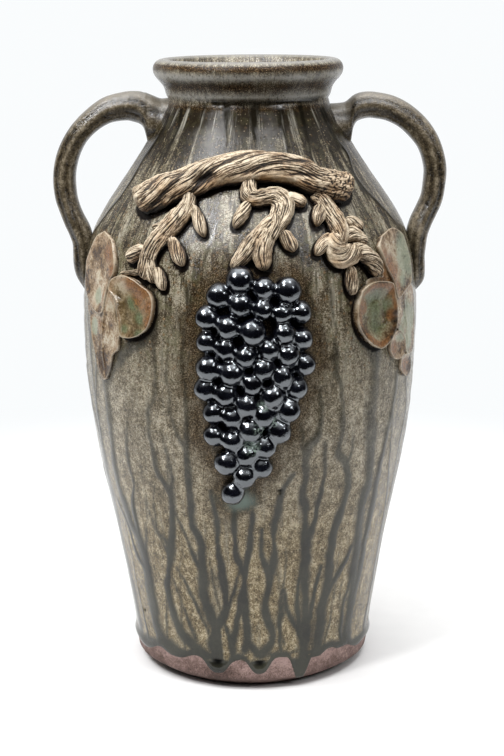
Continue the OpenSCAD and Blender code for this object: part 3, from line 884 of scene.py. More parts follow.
def make_jar(material):
    """The jar's skin, with a field for each thing that its glaze shows and for the shade and reflections
    painted on it.
    """
    down = INNER_ROWS[::-1]
    belly = even_line(WALL_ROWS[WALL_ROWS[:, 1] <= LIP_Z], BELLY_STEP)
    outer = np.vstack([BEVEL_ROWS, belly])
    lip_rows = [outer[-1:], WALL_ROWS[WALL_ROWS[:, 1] > LIP_Z], down[down[:, 1] > LIP_INSIDE_Z]]
    lip = even_line(np.vstack(lip_rows), LIP_STEP)[1:]
    inner = even_line(np.vstack([lip[-1:], down[down[:, 1] < LIP_INSIDE_Z]]), INNER_STEP)[1:]
    section = np.vstack([outer, lip, inner])
    radius, height = section[:, :1], section[:, 1:]
    shown = (np.arange(len(section)) < len(outer) + len(lip) / 2)[:, None]
    degrees = np.r_[
        np.linspace(-FRONT_REACH, FRONT_REACH, FRONT_COLUMNS, endpoint=False),
        np.linspace(FRONT_REACH, 360 - FRONT_REACH, BACK_COLUMNS, endpoint=False),
    ]
    angles = np.radians(degrees)
    spots = around(radius, angles, height)
    wave = noise(spots, 9, 3)

    above = height - glaze_line(degrees)
    bare = np.clip(0.5 - above / 4, 0, 1)
    roll = hump(ROLL_H, ROLL_H * 1.3, above)
    beads = smooth(GLAZE_LINE + 1, GLAZE_LINE - 5, height)
    run = np.maximum(run_field(degrees, section[:, 1]), 0.85 * np.maximum(roll, beads)) * shown
    pit = drop_field(degrees, height) * shown
    # Painted contact shadow beside the applied clay and the leaves
    seam = contact_shadow_field(np.radians(turned(degrees)) * wall_r(height), wall_up(height))
    balls_off = np.linalg.norm(spots[..., None, :] - BALLS[:, :3], axis=-1) - BALLS[:, 3]
    off_bunch = balls_off.min(-1)
    crowd = hump(0, CROWD, balls_off + BALLS[:, 3]).sum(-1)
    # Black next to the grapes: their glaze pooled at their feet, with painted shade in the gaps where the
    # balls crowd together
    pool_and_shade = np.maximum(smooth(2.6, 0.8, off_bunch + 0.5 * wave), smooth(0.6, 0.85, crowd))
    halo_middle = BALLS[BALLS[:, 2].argmin(), :3] + HALO_OFF
    halo_off = np.linalg.norm((spots - halo_middle) / HALO_SIZE, axis=-1)
    halo = smooth(1.0, 0.25, halo_off + 0.35 * wave)
    rust = sum(share * hump(z, half_h, height) for z, half_h, share in RUST_BANDS)
    rust = rust * (1 + 0.5 * noise(spots, 12, 19))
    rust = np.clip(rust + 0.75 * smooth(20, 5, off_bunch + 7 * noise(spots, 14, 17)), 0, 1)
    # Pale grey bands of painted reflection on the lip and neck
    pale = sum(share * hump(z, half_h, height) for z, half_h, share in PAINTED_SHEEN_BANDS)
    pale = np.clip(pale * (1 + 0.5 * noise(spots, 16, 27)), 0, 1)

    raised = RUN_RAISE * smooth(0.1, 0.9, run) * (height < RUN_TOP) - PIT_DEPTH * pit
    raised = raised + (0.8 * roll + 0.9 * roll * smooth(0, 8, GLAZE_LINE - height))
    for z, half_h, out in RINGS:
        raised = raised + out * hump(z, half_h, height) * (1 + 0.35 * wave)
    raised = raised + (0.35 * noise(spots, 38, 11) + 0.12 * wave)
    raised = raised * (shown * smooth(0, 6, height))
    out_r, out_z = wall_out(height)
    rings = around(radius + raised * out_r, angles, height + raised * out_z)
    fields = {"bare": bare, "pool_and_shade": pool_and_shade, "halo": halo, "rust": rust, "seam": seam, "pale": pale}
    fields = {name: value * shown for name, value in fields.items()}
    shape = skin(rings, (0, 0, 0), (0, 0, FLOOR_Z), run=run, pit=pit, **fields)
    make_piece("jar", shape, material, ["jar_body"])


# The handles

# Each strap's middle line from the neck to the tail: distance off the axis, height, thickness and width
RIGHT_STRAP = [
    (54, 400.5, 34, 36), (60, 400.5, 34, 35), (65.5, 400.7, 34, 33), (70, 401, 35, 31.5),
    (73.2, 403.5, 35, 30), (74.6, 408, 28.5, 29), (75.6, 411.3, 23.4, 28), (78.1, 414.3, 20, 27),
    (82, 415.8, 19.2, 26), (86.9, 416.4, 18.9, 25.5), (91.9, 416, 18.8, 25),
    (101.8, 414, 18.6, 25), (111.4, 409.3, 18.4, 25), (120.5, 402, 17.8, 25),
    (127.7, 393.4, 17, 25), (132.4, 383.9, 16.7, 25), (135.3, 372.5, 16.5, 25), (135.6, 363, 16.4, 25),
    (133.8, 349.6, 16, 25), (129.8, 339.5, 15.8, 26), (126, 331, 16, 27), (123.4, 323, 15.8, 27.5),
    (122.4, 314, 15.2, 27), (122.2, 306, 14.2, 26), (122.4, 298, 14.4, 25), (122.4, 290, 13.4, 22),
    (121.9, 284, 8, 15), (122, 281, 3, 8),
]
LEFT_STRAP = [
    (54, 404, 36, 36), (59, 404, 36, 35), (63.6, 404, 36, 33), (69.5, 405.2, 38.4, 31),
    (72.5, 406.5, 38, 29.5), (74, 409.9, 32, 29), (75.6, 413, 26, 28), (78, 414.9, 23.6, 27),
    (82.5, 416.1, 22, 26), (88.4, 416.6, 20.7, 25),
    (99.4, 414.6, 19, 25), (107.7, 410.6, 17.3, 25), (117, 403.4, 16.2, 25), (124.6, 395, 16, 25),
    (130.2, 384.6, 16.2, 25), (133.4, 374, 16.5, 25), (134.6, 363, 16.6, 25), (133.9, 351.5, 16, 25),
    (131.4, 342.4, 15.4, 25.5), (128.2, 334, 15.6, 26.5), (124.9, 327, 15.8, 27), (122.6, 319, 15.5, 27.5),
    (122.5, 311, 15, 27), (122.6, 303, 14.5, 26), (122.2, 295, 12.5, 23), (121.5, 288, 7.5, 17),
    (121.6, 283.5, 2.5, 8),
]
HANDLE_STEP = 1.2
ROOT_X = 78.0
ARCH_X = 96.0
HANDLE_SIDES = 72
HANDLE_ROUND = 2 / 2.3
SINK = 1.2


def make_handle(name, turn, strap, material, seed):
    """A strap with two shallow channels, sunk into the wall at both ends."""
    x, z, thick, wide = even_line(strap, HANDLE_STEP).T
    along = np.gradient(np.stack([x, z], 1), axis=0)
    along[:, 1] *= smooth(ROOT_X, ARCH_X, x)
    along /= np.linalg.norm(along, axis=1)[:, None]
    a = np.linspace(0, 2 * np.pi, HANDLE_SIDES, endpoint=False)[None, :]
    way = np.arange(len(x))[:, None] * HANDLE_STEP
    wobble = noise(stacked(way, 9 * np.cos(a), 9 * np.sin(a)), 14, seed)
    # Two shallow channels run down the front and the back of the strap, with ridges beside them
    out = np.sin(a) + 0.12 * noise(stacked(way, 0 * a, 0), 22, seed + 1)
    side = smooth(0.25, 0.6, np.abs(np.cos(a)))
    channel = side * (hump(0.45, 0.16, out) + 0.8 * hump(-0.3, 0.16, out))
    ridge = side * (hump(0.05, 0.13, out) + 0.7 * hump(0.78, 0.14, out) + 0.6 * hump(-0.62, 0.12, out))
    swell = 1 + 0.03 * wobble - 0.05 * channel + 0.025 * ridge
    across = np.sign(np.cos(a)) * np.abs(np.cos(a)) ** HANDLE_ROUND * wide[:, None] / 2 * swell
    outward = np.sign(np.sin(a)) * np.abs(np.sin(a)) ** HANDLE_ROUND * thick[:, None] / 2 * swell
    px = x[:, None] - along[:, 1:] * outward
    pz = z[:, None] + along[:, :1] * outward
    reach = np.hypot(px, across)
    seat = wall_r(pz) - SINK
    pull = np.where(reach < seat, seat / reach, 1)
    rings = np.stack([px * pull * turn, across * pull, pz], -1)[:, ::turn]
    tone_shift = np.clip(0.8 * ridge - 0.7 * channel + 0.3 * wobble, -1, 1)[:, ::turn]
    # The upper faces, for painted top light
    top = smooth(0.35, 0.85, np.abs(along[:, :1]) * np.sin(a) + 0.15 * wobble)[:, ::turn]
    make_piece(name + "_look", capped(rings, ridge=tone_shift, top=top), material, [name])


# The branch, its twigs and their buds

STRAND_STEP = 0.5
LUMPY_W = 6.0
TOP_SIDES = 124
UNDER_SIDES = 14
SEAT_SHARE = 0.45
# Combs drawn along a strand: depth, pitch and slant, each as a share
COMBS = [(1.0, 1.0, 0.0), (0.6, 0.6, 0.1), (0.5, 0.75, -0.16)]


def combed(way, across, seed, pitch, fade):
    """Comb marks: how deep each place is cut, from 0 to 1, by its way along and across the strand."""
    depth = 0.0
    for share, scale, slant in COMBS:
        laid = across + slant * way
        bend = noise(stacked(way / 11, laid / 5, 0), 1, seed)
        at = (laid + bend) / (pitch * scale)
        mark = np.floor(at)
        shown = noise(stacked(way / (fade * scale) + 5.31 * mark, 3.7 * mark, 0), 1, seed + 1)
        broad = 0.3 + 0.1 * noise(stacked(way / 3, 2.3 * mark, 0), 1, seed + 2)
        groove = smooth(broad, 0.04, np.abs(at - mark - 0.5)) * smooth(-0.3, 0.2, shown)
        depth = np.maximum(depth, share * groove)
    return depth


def strand(rows, relief, seed, lay, pitch=1.8, depth=0.8, fade=16.0, blunt=0.5, plain=-1.0, shape=None):
    """A coil of clay pressed on to the wall, along rows of side, up and width, with comb marks.

    The marks cross the coil by the lay, rows of (share of the way, slope), and leave a plain share of it
    without marks.
    """
    side, up, width = even_line(rows, STRAND_STEP).T
    way = np.arange(len(side))[:, None] * STRAND_STEP
    along = np.gradient(np.stack([side, up], 1), axis=0)
    along /= np.linalg.norm(along, axis=1)[:, None]
    half_h = relief / (1 + SEAT_SHARE)
    top = np.linspace(-0.12 * np.pi, 1.12 * np.pi, TOP_SIDES)
    under = np.linspace(1.12 * np.pi, 1.88 * np.pi, UNDER_SIDES + 2)[1:-1]
    a = np.r_[top, under][None, :]
    half_w = width[:, None] / 2
    mean = (half_w + half_h) / 2
    across = (a - np.pi / 2) * mean
    spots = stacked(way, mean * np.cos(a), mean * np.sin(a))
    end = np.minimum(way, way[::-1]) / (blunt * width[:, None]) + 0.02
    frayed = noise(stacked(way / 40, across / 1.9, 0), 1, seed + 7)
    end = np.sqrt(1 - (1 - np.clip(end * (1 + 0.4 * frayed), 0, 1)) ** 2)
    slope = np.interp(way / way[-1], *np.array(lay).T)
    laid = across - np.cumsum(slope, axis=0) * STRAND_STEP
    cut = combed(way, laid, seed, pitch, fade)
    fibre = noise(stacked(way / 9, laid / 0.8, 0), 1, seed + 8)
    rib = noise(stacked(way / 24, laid / 2.6, 0), 1, seed + 11)
    lump = 0.5 * noise(spots, 8, seed + 5) + 0.35 * noise(spots, 2.2, seed + 6)
    cut = cut * smooth(plain - 0.1, plain + 0.1, a / np.pi)
    swell = (lump + 0.5 * rib) * np.minimum(1, half_w / LUMPY_W) - depth * cut + 0.2 * fibre
    if shape:
        change, cut = shape(way / way[-1], a, across, way, cut)
        swell = swell + change
    # Painted contact shade where the coil meets the wall
    seat = smooth(0.35, -0.1, np.sin(a))
    # Painted shade on the lower side of the coil, with a stain towards its far end
    below = smooth(0.15, 0.9, along[:, :1] * np.cos(a))
    burnt = np.clip(below + 0.6 * smooth(0.75, 1.0, way / way[-1]), 0, 1)
    burnt = np.clip(burnt * (0.6 + 0.6 * noise(spots, 5, seed + 9)), 0, 1)
    # Darker in the grooves, and painted contact shade at the seat
    cut = np.clip(np.maximum(cut - 0.16 * fibre - 0.12 * rib, 0.9 * seat), 0, 1)
    offset = np.cos(a) * end * (half_w + swell)
    proud = end * (SEAT_SHARE * half_h + np.sin(a) * (half_h + swell))
    rings = on_wall(side[:, None] + along[:, 1:] * offset, up[:, None] - along[:, :1] * offset, proud)
    return capped(rings, cut=cut, burnt=burnt)


VINE_ROWS = [
    (-84, 90.5, 17), (-78, 94.5, 19.5), (-68, 99.5, 20.5), (-56, 105.6, 20.5), (-40, 111.5, 20.5),
    (-24, 119, 21), (-9.6, 123, 22.5), (3.2, 124.6, 23), (17.6, 123.5, 22), (32, 119.5, 20),
    (44.8, 111.6, 19), (59.2, 106.6, 20), (76, 101.8, 20),
]
VINE_LAY = [(0, 0.1), (0.15, 0.28), (0.55, 0.36), (0.68, 0.05), (1, -0.05)]
ROPE_PITCH = 13.0
ROPE_TWIST = -0.42


def vine_form(u, a, across, way, cut):
    """The branch's own hollows and knobs: how far each place stands out, and how its grooves show."""
    front = a / np.pi
    sway = 2.5 * noise(stacked(way / 30, across / 14, 0), 1, 93)
    turn = np.cos(2 * np.pi * (across + sway + ROPE_TWIST * way) / ROPE_PITCH)
    rope = smooth(0.0, 0.1, u) * smooth(0.9, 0.75, u)
    hollow = hump(0.345, 0.04, u) * hump(0.30, 0.10, front)
    band = smooth(0.34, 0.40, u) * smooth(0.80, 0.72, u) * smooth(0.26, 0.18, front)
    knob = hump(0.955, 0.035, u) * hump(0.62, 0.2, front)
    rough = smooth(0.78, 0.88, u)
    pits = noise(stacked(u * 150, a * 12, 0), 1, 91)
    change = 0.6 * rope * turn * (1 - band) - 3.8 * hollow + 1.6 * knob + 0.5 * rough * pits + 0.6 * band
    change = change + 0.9 * cut * np.maximum(0.9 * band, 0.5 * rough)
    seam = 0.5 * rope * smooth(0.6, 1.0, -turn)
    shown = (cut + seam) * (1 - 0.9 * band) * (1 - 0.5 * rough) + 0.9 * hollow
    return change, np.clip(shown + 0.7 * rough * smooth(0.05, 0.5, -pits), 0, 1)


# Strands of each twig: rows of (side, up, width), how far the strand stands off the wall, the slope of its
# comb marks, then the plain share of its side
LEFT_TWIG = [
    ([(-39.5, 104.5, 8), (-41.4, 94, 11), (-50, 83.3, 14), (-57, 75.6, 14), (-66, 66.6, 13), (-71, 58, 12.5),
      (-73.5, 48, 12), (-77, 42, 10)], 8.0, 0.04, -1),
    ([(-70.5, 60, 8), (-69.5, 48, 8), (-67.5, 39.5, 5)], 6.5, 0.1, -1),
    ([(-72, 49, 6), (-82, 45.5, 5), (-90, 44, 4), (-97, 43, 3)], 4.2, 0.0, -1),
    ([(-55, 78, 8), (-63, 77, 6.5), (-68.5, 75.5, 4)], 6.0, 0.1, -1),
]
CENTRE_TWIG = [
    ([(1.4, 116, 10), (0, 108.6, 10.5), (0.5, 103, 12), (3, 99.5, 12)], 8.0, 0.25, -1),
    ([(-2, 101, 11), (5, 100.5, 13), (11, 101.5, 13), (18, 101, 15), (22.5, 94.5, 16), (20, 85, 15.5),
      (13, 77, 15), (7, 71, 15), (3, 66, 14)], 9.0, 0.06, -1),
    ([(11, 77, 13), (2.5, 68, 14), (-4, 60, 12), (-11.5, 51.5, 7)], 8.0, 0.1, -1),
    ([(13, 80, 13), (9, 70, 15), (8, 60, 13.5), (10.5, 50.5, 8)], 8.5, -0.08, -1),
    ([(18, 90, 9), (17.5, 80, 10), (12, 70, 9)], 9.5, 0.05, -1),
]
RIGHT_TWIG = [
    ([(49, 101.5, 9), (55, 90, 13), (61, 80, 13), (64, 70, 13), (62, 63, 12)], 8.0, 0.08, -1),
    ([(43.5, 102, 7), (49, 98.5, 9), (54, 91, 9)], 6.5, 0.1, -1),
    ([(59, 73, 11), (58, 64, 14.5), (63.5, 57.5, 18), (72, 57, 15.5), (80, 59.5, 11)], 9.5, 1.1, 0.3),
    ([(63, 70, 8), (72, 70, 9), (80, 66.5, 9), (86, 62, 7)], 7.0, 0.4, -1),
    ([(70, 60, 10), (79, 58.5, 11), (88, 53, 11.5), (93.5, 46, 10.5), (96, 40.5, 7)], 9.0, 0.5, -1),
]
# Buds of each twig: rows of (side, up, width), then how far the bud stands off the wall
BUDS = {
    "left_bud_1": ([(-37, 95, 4), (-35, 88, 8), (-32.5, 80, 8.5), (-30, 73, 4)], 6.5),
    "left_bud_2": ([(-54.5, 71.5, 5), (-51.5, 66, 9.5), (-48, 58.5, 10.5), (-45.5, 52.5, 6)], 7.0),
    "left_bud_3": ([(-65, 50.5, 4), (-63, 46, 8.5), (-61, 40, 8.5), (-59.5, 35.5, 5)], 6.0),
    "left_bud_4": ([(-74, 63, 8), (-80, 59.8, 9), (-86, 56, 9.5), (-91, 53, 6)], 7.0),
    "centre_bud_1": ([(0, 98.5, 4), (-2.8, 93, 8.5), (-6.3, 86, 9), (-9.8, 79.5, 5)], 6.5),
    "centre_bud_2": ([(23, 101.5, 9), (28.5, 99.8, 10), (34, 97.3, 9.5), (38.8, 95, 6)], 7.5),
    "centre_bud_3": ([(20.5, 76.5, 4), (23.5, 73, 9), (27.5, 67.5, 9.5), (30.8, 62.8, 6)], 6.5),
    "right_bud_1": ([(49.5, 95, 5), (49, 91, 10), (48, 85, 10.5), (47, 79, 6)], 7.0),
    "right_bud_2": ([(69, 81.5, 4), (74, 79.5, 9), (79.5, 77, 9), (85, 74, 5)], 5.0),
    "right_bud_3": ([(57.5, 71, 7), (53, 68.5, 9), (49, 64.5, 9.5), (45.5, 59, 6)], 7.0),
    "right_bud_4": ([(71, 50, 8), (71.7, 44, 9), (72.5, 37, 9.5), (73.2, 30, 4)], 6.5),
    "right_bud_5": ([(68.5, 73.5, 6), (74, 72, 8), (80, 68, 8), (85.5, 63.5, 6)], 6.5),
}


def make_vine(material):
    """The branch across the shoulder."""
    shape = strand(VINE_ROWS, 14.0, 21, VINE_LAY, pitch=1.9, depth=0.85, fade=13, blunt=0.45, shape=vine_form)
    make_piece("vine", shape, material, ["vine_branch"])


def make_twig(name, strands, material, seed):
    """A twig of several strands that lie over each other."""
    shapes = [
        strand(rows, relief, seed + 20 * i, [(0, slope), (1, slope)], 1.8, 0.8, 8, 0.45, plain)
        for i, (rows, relief, slope, plain) in enumerate(strands)
    ]
    make_piece(name + "_look", joined(shapes), material, [name])


def make_bud(name, material, seed):
    """A pod beside a twig."""
    rows, relief = BUDS[name]
    shape = strand(rows, relief, seed, [(0, -0.35), (1, -0.2)], pitch=1.8, depth=0.75, fade=10, blunt=0.55)
    make_piece(name + "_look", shape, material, [name])


# The leaves, each a thin slab with lobes laid over it

LEAF_R = 47.0
LEAF_SIDE = 115.0
LEAF_UP = 31.0
SLAB_T = 1.3
SLAB_SHARE = 0.86
SLAB_SIDES = 300
# Tips and notches round each slab: degrees from the front of the jar, share of the slab's reach
LEFT_SLAB = [
    (-40, 0.95), (-16, 0.97), (8, 0.93), (27, 0.66), (42, 0.32), (68, 0.62), (105, 0.79), (134, 0.6),
    (160, 0.95), (188, 0.68), (212, 0.98), (236, 0.8), (262, 1.42), (274, 1.02), (284, 0.93), (293, 0.74),
]
RIGHT_SLAB = [
    (-45, 0.93), (-15, 0.86), (12, 0.72), (35, 0.34), (68, 0.66), (100, 0.81), (134, 0.66), (160, 0.95),
    (188, 0.68), (210, 0.98), (230, 0.82), (253, 1.4), (261, 1.08), (268, 0.9), (274, 0.74), (292, 0.93),
]
# Lobes: height of the middle, how far the edge turns up, then the outline as (side, up)
LEFT_LOBES = [
    (1.6, 0.6, [(-122, 12), (-121, 4), (-125, -8), (-127.8, -19), (-123, -30), (-121, -36), (-131, -28),
                (-137, -12), (-141, 2), (-139, 14), (-130, 18)]),
    (2.0, 0.9, [(-110, 31), (-104.8, 26.4), (-99.7, 16), (-97.7, 3.6), (-100.4, -2), (-101, -9.7),
                (-107.7, -15), (-111, -24), (-118.3, -35), (-125, -30), (-127.8, -19), (-125, -5),
                (-119.5, 12)]),
    (2.3, 1.5, [(-120.7, 68.5), (-109.5, 64), (-105.2, 57), (-103, 49), (-104.4, 42), (-109.7, 35.7),
                (-114.3, 23.3), (-119, 13), (-130, 13), (-141, 19), (-148, 30), (-149, 42), (-143, 52),
                (-133, 63)]),
    (2.9, 1.9, [(-108.6, 31), (-105, 38), (-94, 42), (-84.4, 40.5), (-75.7, 36.5), (-69.6, 33), (-67, 27.5),
                (-67.6, 20), (-69.8, 13), (-74, 6.8), (-82.6, 1.5), (-91.7, -0.2), (-96.5, 1.3), (-98, 10.4),
                (-99.5, 20.4), (-104, 28)]),
]
RIGHT_LOBES = [
    (1.6, 0.8, [(119, 21), (129, 25), (141, 29), (149, 23), (153, 8), (153, -8), (149, -21), (137, -21),
                (131, -9), (122, -1), (116, 5), (116.5, 14.6)]),
    (1.6, 1.0, [(127, -22), (136, -21), (145, -25), (146, -34), (137, -38), (127, -30)]),
    (1.9, 1.3, [(112, -4), (122, -1.5), (130.5, -8), (131, -18.4), (123, -22), (115.5, -20), (110.4, -12.6)]),
    (2.3, 1.6, [(103, 66), (118.4, 69.5), (133, 64), (140, 54.6), (143, 40), (141, 30), (129, 25), (119, 22),
                (114, 33.7), (107, 44), (102.5, 52), (98.6, 59.3)]),
    (1.3, 4.6, [(79, 32), (86.3, 36), (95, 36.8), (109, 33.6), (112, 27), (114.5, 17.7), (115, 5.8),
                (110.3, -2.5), (102, -8.4), (94.8, -9.2), (85, -3), (79, 4), (75.6, 11.7), (75.5, 22.3)]),
]
LEFT_VEINS = [
    [(-107, 30.5), (-100.8, 25.4), (-97.2, 18.3), (-95, 11), (-94.5, 3)],
    [(-117, 14), (-120, 0), (-121.7, -13.3), (-118.5, -27)],
]
RIGHT_VEINS = [
    [(131, 22), (135, 5), (138, -14)],
]
# Spots of colour on the leaves: (side, up, size); the cut spots are painted shadow along the lower right edge
# of the right leaf's front lobe
LEFT_SPOTS = {
    "green": [(-86, 24, 6), (-79, 14, 5.5), (-79, 4, 5), (-93, 5, 4.5)],
    "red": [(-76, 33, 11), (-70, 24, 9), (-85, 38, 8), (-69, 14, 7), (-110, 54, 10), (-107, 45, 7),
            (-124, 4, 4)],
    "sage": [(-124, 24, 5), (-133, 0, 7)],
    "olive": [(-86, 20, 20)],
    "cut": [],
}
RIGHT_SPOTS = {
    "green": [(95, 18, 16), (94, 5, 13), (97, 27, 11)],
    "red": [(109, 47, 8), (114, 39, 9), (118, 30, 7), (105, 54, 5), (104, 40, 8), (110, 33, 9),
            (110, 12, 5), (116, -14, 7), (135, -30, 8), (82, 20, 5)],
    "sage": [(134, 56, 13), (138, 42, 14), (141, 4, 16), (139, -12, 12), (126, -6, 8), (128, 34, 8)],
    "olive": [(96, 14, 18)],
    "cut": [(113, 13, 2.6), (113, 7, 3.2), (111, 1, 3.4), (107.5, -3.5, 2.6)],
}
EDGE_STEP = 0.3
LOBE_SIDES = 160
LOBE_OVER = np.r_[np.linspace(0.03, 0.88, 24), 0.91, 0.94, 0.965, 0.985, 1.0]
TUCK = np.array([1.0, 0.97, 0.5, 0.1])
TUCK_DEPTH = 0.8
VEIN_W = 0.8
BACK_RING = 0.35


def slab_reach(shares, heading):
    """How far a slab reaches at each heading."""
    at, share = np.array(shares + [(shares[0][0] + 360, shares[0][1])]).T
    i = np.clip(np.searchsorted(at, heading, side="right") - 1, 0, len(at) - 2)
    return LEAF_R * (share[i] + (share[i + 1] - share[i]) * smooth(at[i], at[i + 1], heading))


def spots_near(rows, side, up, lump):
    """1 in the middle of the spots, fading to 0 outside them."""
    total = np.zeros_like(side)
    for spot_side, spot_up, size in rows:
        off = np.hypot(side - spot_side, up - spot_up) / size
        total = np.maximum(total, smooth(1.5, 0.0, off + 0.3 * lump))
    return total


def near_lines(lines, side, up):
    """1 on any of the lines and 0 clear of them."""
    total = np.zeros_like(side)
    for line in lines:
        for s, u in even_line(line, VEIN_W / 2):
            total = np.maximum(total, hump(0, VEIN_W, np.hypot(side - s, up - u)))
    return total


def dish(middle, outline, form, veins, spots, ring, seed, turn):
    """A thin dish of clay on the wall inside an outline of (side, up)."""
    over = LOBE_OVER[:, None]
    reach = (outline - middle).T
    side = middle[0] + over * reach[0]
    up = middle[1] + over * reach[1]
    lump = noise(stacked(side, up, 0), 9, seed)
    vein = near_lines(veins, side, up) * smooth(1.0, 0.9, over)
    rim = hump(0.99, 0.022, over)
    proud = np.maximum(form(over) + 0.45 * lump + 0.55 * vein, 0.5)
    fields = {name: spots_near(rows, side, up, lump) for name, rows in spots.items()}
    fields["red"] = np.maximum(fields["red"], ring * hump(0.87, 0.09, over) * (1 + 0.5 * lump))
    fields["pale"] = np.maximum(0.9 * rim, 0.6 * vein) * np.ones_like(side)
    tuck = TUCK[:, None]
    side = np.vstack([side, middle[0] + tuck * reach[0]])
    up = np.vstack([up, middle[1] + tuck * reach[1]])
    proud = np.vstack([proud, np.full((len(TUCK), len(outline)), -TUCK_DEPTH)])
    pad = np.zeros((len(TUCK), len(outline)))
    # The tucked edge is painted black, as painted shadow under the dish
    fields = {name: np.vstack([value, pad + (name == "cut")])[:, ::turn] for name, value in fields.items()}
    return capped(on_wall(side, up, proud)[:, ::turn], **fields)


def make_leaf(name, turn, slab, lobes, veins, spots, front_ring, material, seed):
    """A leaf: a slab with its lobes laid over it, the front one last."""
    heading = slab[0][0] + np.arange(SLAB_SIDES) * 360 / SLAB_SIDES
    reach = slab_reach(slab, heading)
    direct = np.radians(heading)
    middle = np.array([turn * LEAF_SIDE, LEAF_UP])
    outline = middle + SLAB_SHARE * reach[:, None] * np.stack([-turn * np.cos(direct), np.sin(direct)], 1)
    shapes = [dish(middle, outline, lambda over: SLAB_T + 0 * over, [], spots, BACK_RING, seed, turn)]
    for i, (lift, edge, rows) in enumerate(lobes):
        closed = even_line(rows + rows[:1], EDGE_STEP)
        pick = np.linspace(0, len(closed) - 1, LOBE_SIDES, endpoint=False).astype(int)
        rows = closed[pick]
        winding = np.sum(rows[:, 0] * np.roll(rows[:, 1], -1) - np.roll(rows[:, 0], -1) * rows[:, 1])
        way = 1 if winding < 0 else -1

        def form(over, lift=lift, edge=edge):
            return lift + edge * smooth(0.35, 1.0, over) + 0.12 * hump(0.97, 0.05, over)

        ring = front_ring if i == len(lobes) - 1 else BACK_RING
        shapes.append(dish(rows.mean(0), rows, form, veins, spots, ring, seed + i + 1, way))
    make_piece(name + "_look", joined(shapes), material, [name])


# The bunch of grapes

BALL_SIDES = 40
BALL_RINGS = 20
BALL_SPARE = 0.35
GRAPE_VOXEL = 0.8
GLAZE_BLEND = 0.9
LOW_BLEND = 0.55
GLAZE_SKIN = 1.3
# Milky patches on the lower grapes: degrees from the front, height and size
MILK = [(2.1, 208, 5.5), (0.5, 196, 6.5), (3.9, 225, 4.5), (7.3, 214, 4.0)]
PROJECT_ROUNDS = 5
GRAPE_OUT = 8.0


def glaze_gap(points):
    """Distance of points from the glaze that runs over the balls, and the way out of it."""
    off = points[:, None, :] - BALLS[:, :3]
    length = np.linalg.norm(off, axis=-1)
    gap = length - BALLS[:, 3] - GLAZE_SKIN
    least = gap.min(1, keepdims=True)
    soft = GLAZE_BLEND + LOW_BLEND * smooth(300, 215, points[:, 2])
    weight = np.exp(-(gap - least) / soft[:, None])
    total = weight.sum(1)
    way = (weight[..., None] * off / length[..., None]).sum(1) / total[:, None]
    return least[:, 0] - soft * np.log(total), way


def make_grapes(material):
    """Balls that are run together by their glaze."""
    shapes = []
    for x, y, z, r in BALLS:
        a = np.linspace(0, 2 * np.pi, BALL_SIDES, endpoint=False)[None, :]
        b = np.linspace(-np.pi / 2, np.pi / 2, BALL_RINGS + 2)[1:-1, None]
        ring = stacked(np.cos(b) * np.cos(a), np.cos(b) * np.sin(a), np.sin(b))
        shapes.append(capped((r + GLAZE_SKIN + BALL_SPARE) * ring + (x, y, z)))
    points, faces, _ = joined(shapes)
    rough = new_object("balls", new_mesh("balls", points, faces))
    remesh = rough.modifiers.new("fuse", "REMESH")
    remesh.mode = "VOXEL"
    remesh.voxel_size = GRAPE_VOXEL
    fused = bpy.data.meshes.new_from_object(rough.evaluated_get(bpy.context.evaluated_depsgraph_get()))
    points = np.array([v.co for v in fused.vertices])
    faces = [list(face.vertices) for face in fused.polygons]
    bpy.data.objects.remove(rough)
    for _ in range(PROJECT_ROUNDS):
        gap, way = glaze_gap(points)
        points = points - way * (gap / (way * way).sum(1).clip(0.05))[:, None]
    out = way / np.linalg.norm(way, axis=1)[:, None]
    points = points + out * (0.5 * noise(points, 6, 81) + 0.07 * noise(points, 2.5, 82))[:, None]
    milk = np.zeros(len(points))
    for degrees, z, size in MILK:
        spot = around(wall_r(z) + GRAPE_OUT, np.radians(degrees), z)
        milk = np.maximum(milk, smooth(1.2, 0.3, np.linalg.norm(points - spot, axis=1) / size))
    make_piece("grapes", (points, faces, {"milk": milk}), material, GRAPE_NODES)


# Floor, light and camera

FLOOR_R = 2.4
FLOOR_BACK = 1.965
FLOOR_SIDES = 96
FADE_FROM = 0.28
FADE_TO = 0.78
PAPER_STOPS = [(0.3, (0.78, 0.78, 0.78)), (0.7, (0.80, 0.80, 0.80))]
BACKDROP = (0.955, 0.975, 0.985, 1)
WHITE = (1.0, 1.0, 1.0, 1)


def seen_rays(tree):
    """1 for what the camera sees itself or through glass, and 1 for what shows in a mirror."""
    rays = new_node(tree, "ShaderNodeLightPath", {}).outputs
    seen = most(Value(rays["Is Camera Ray"]), Value(rays["Is Transmission Ray"]))
    return seen, Value(rays["Is Glossy Ray"])


def make_floor():
    """A round pale floor that fades into the backdrop."""
    a = np.linspace(0, 2 * np.pi, FLOOR_SIDES, endpoint=False)
    points = np.c_[np.cos(a), np.sin(a), 0 * a] * FLOOR_R + (0, FLOOR_BACK, 0)
    mesh = new_mesh("floor", points, [list(range(FLOOR_SIDES))])
    material, tree, spot = new_material("floor")
    far = add(tree, "ShaderNodeVectorMath", "Value", {0: spot}, operation="LENGTH")
    paper = ramp(grain(spot, 40, 2), PAPER_STOPS)
    matt = add(tree, "ShaderNodeBsdfDiffuse", "BSDF", {"Color": paper})
    white = add(tree, "ShaderNodeEmission", "Emission", {"Color": BACKDROP, "Strength": 1.0})
    fade = step(far, FADE_FROM, FADE_TO) * most(*seen_rays(tree))
    mixed = add(tree, "ShaderNodeMixShader", "Shader", {0: fade, 1: matt, 2: white})
    new_node(tree, "ShaderNodeOutputMaterial", {"Surface": mixed})
    mesh.materials.append(material)
    new_object("floor", mesh)


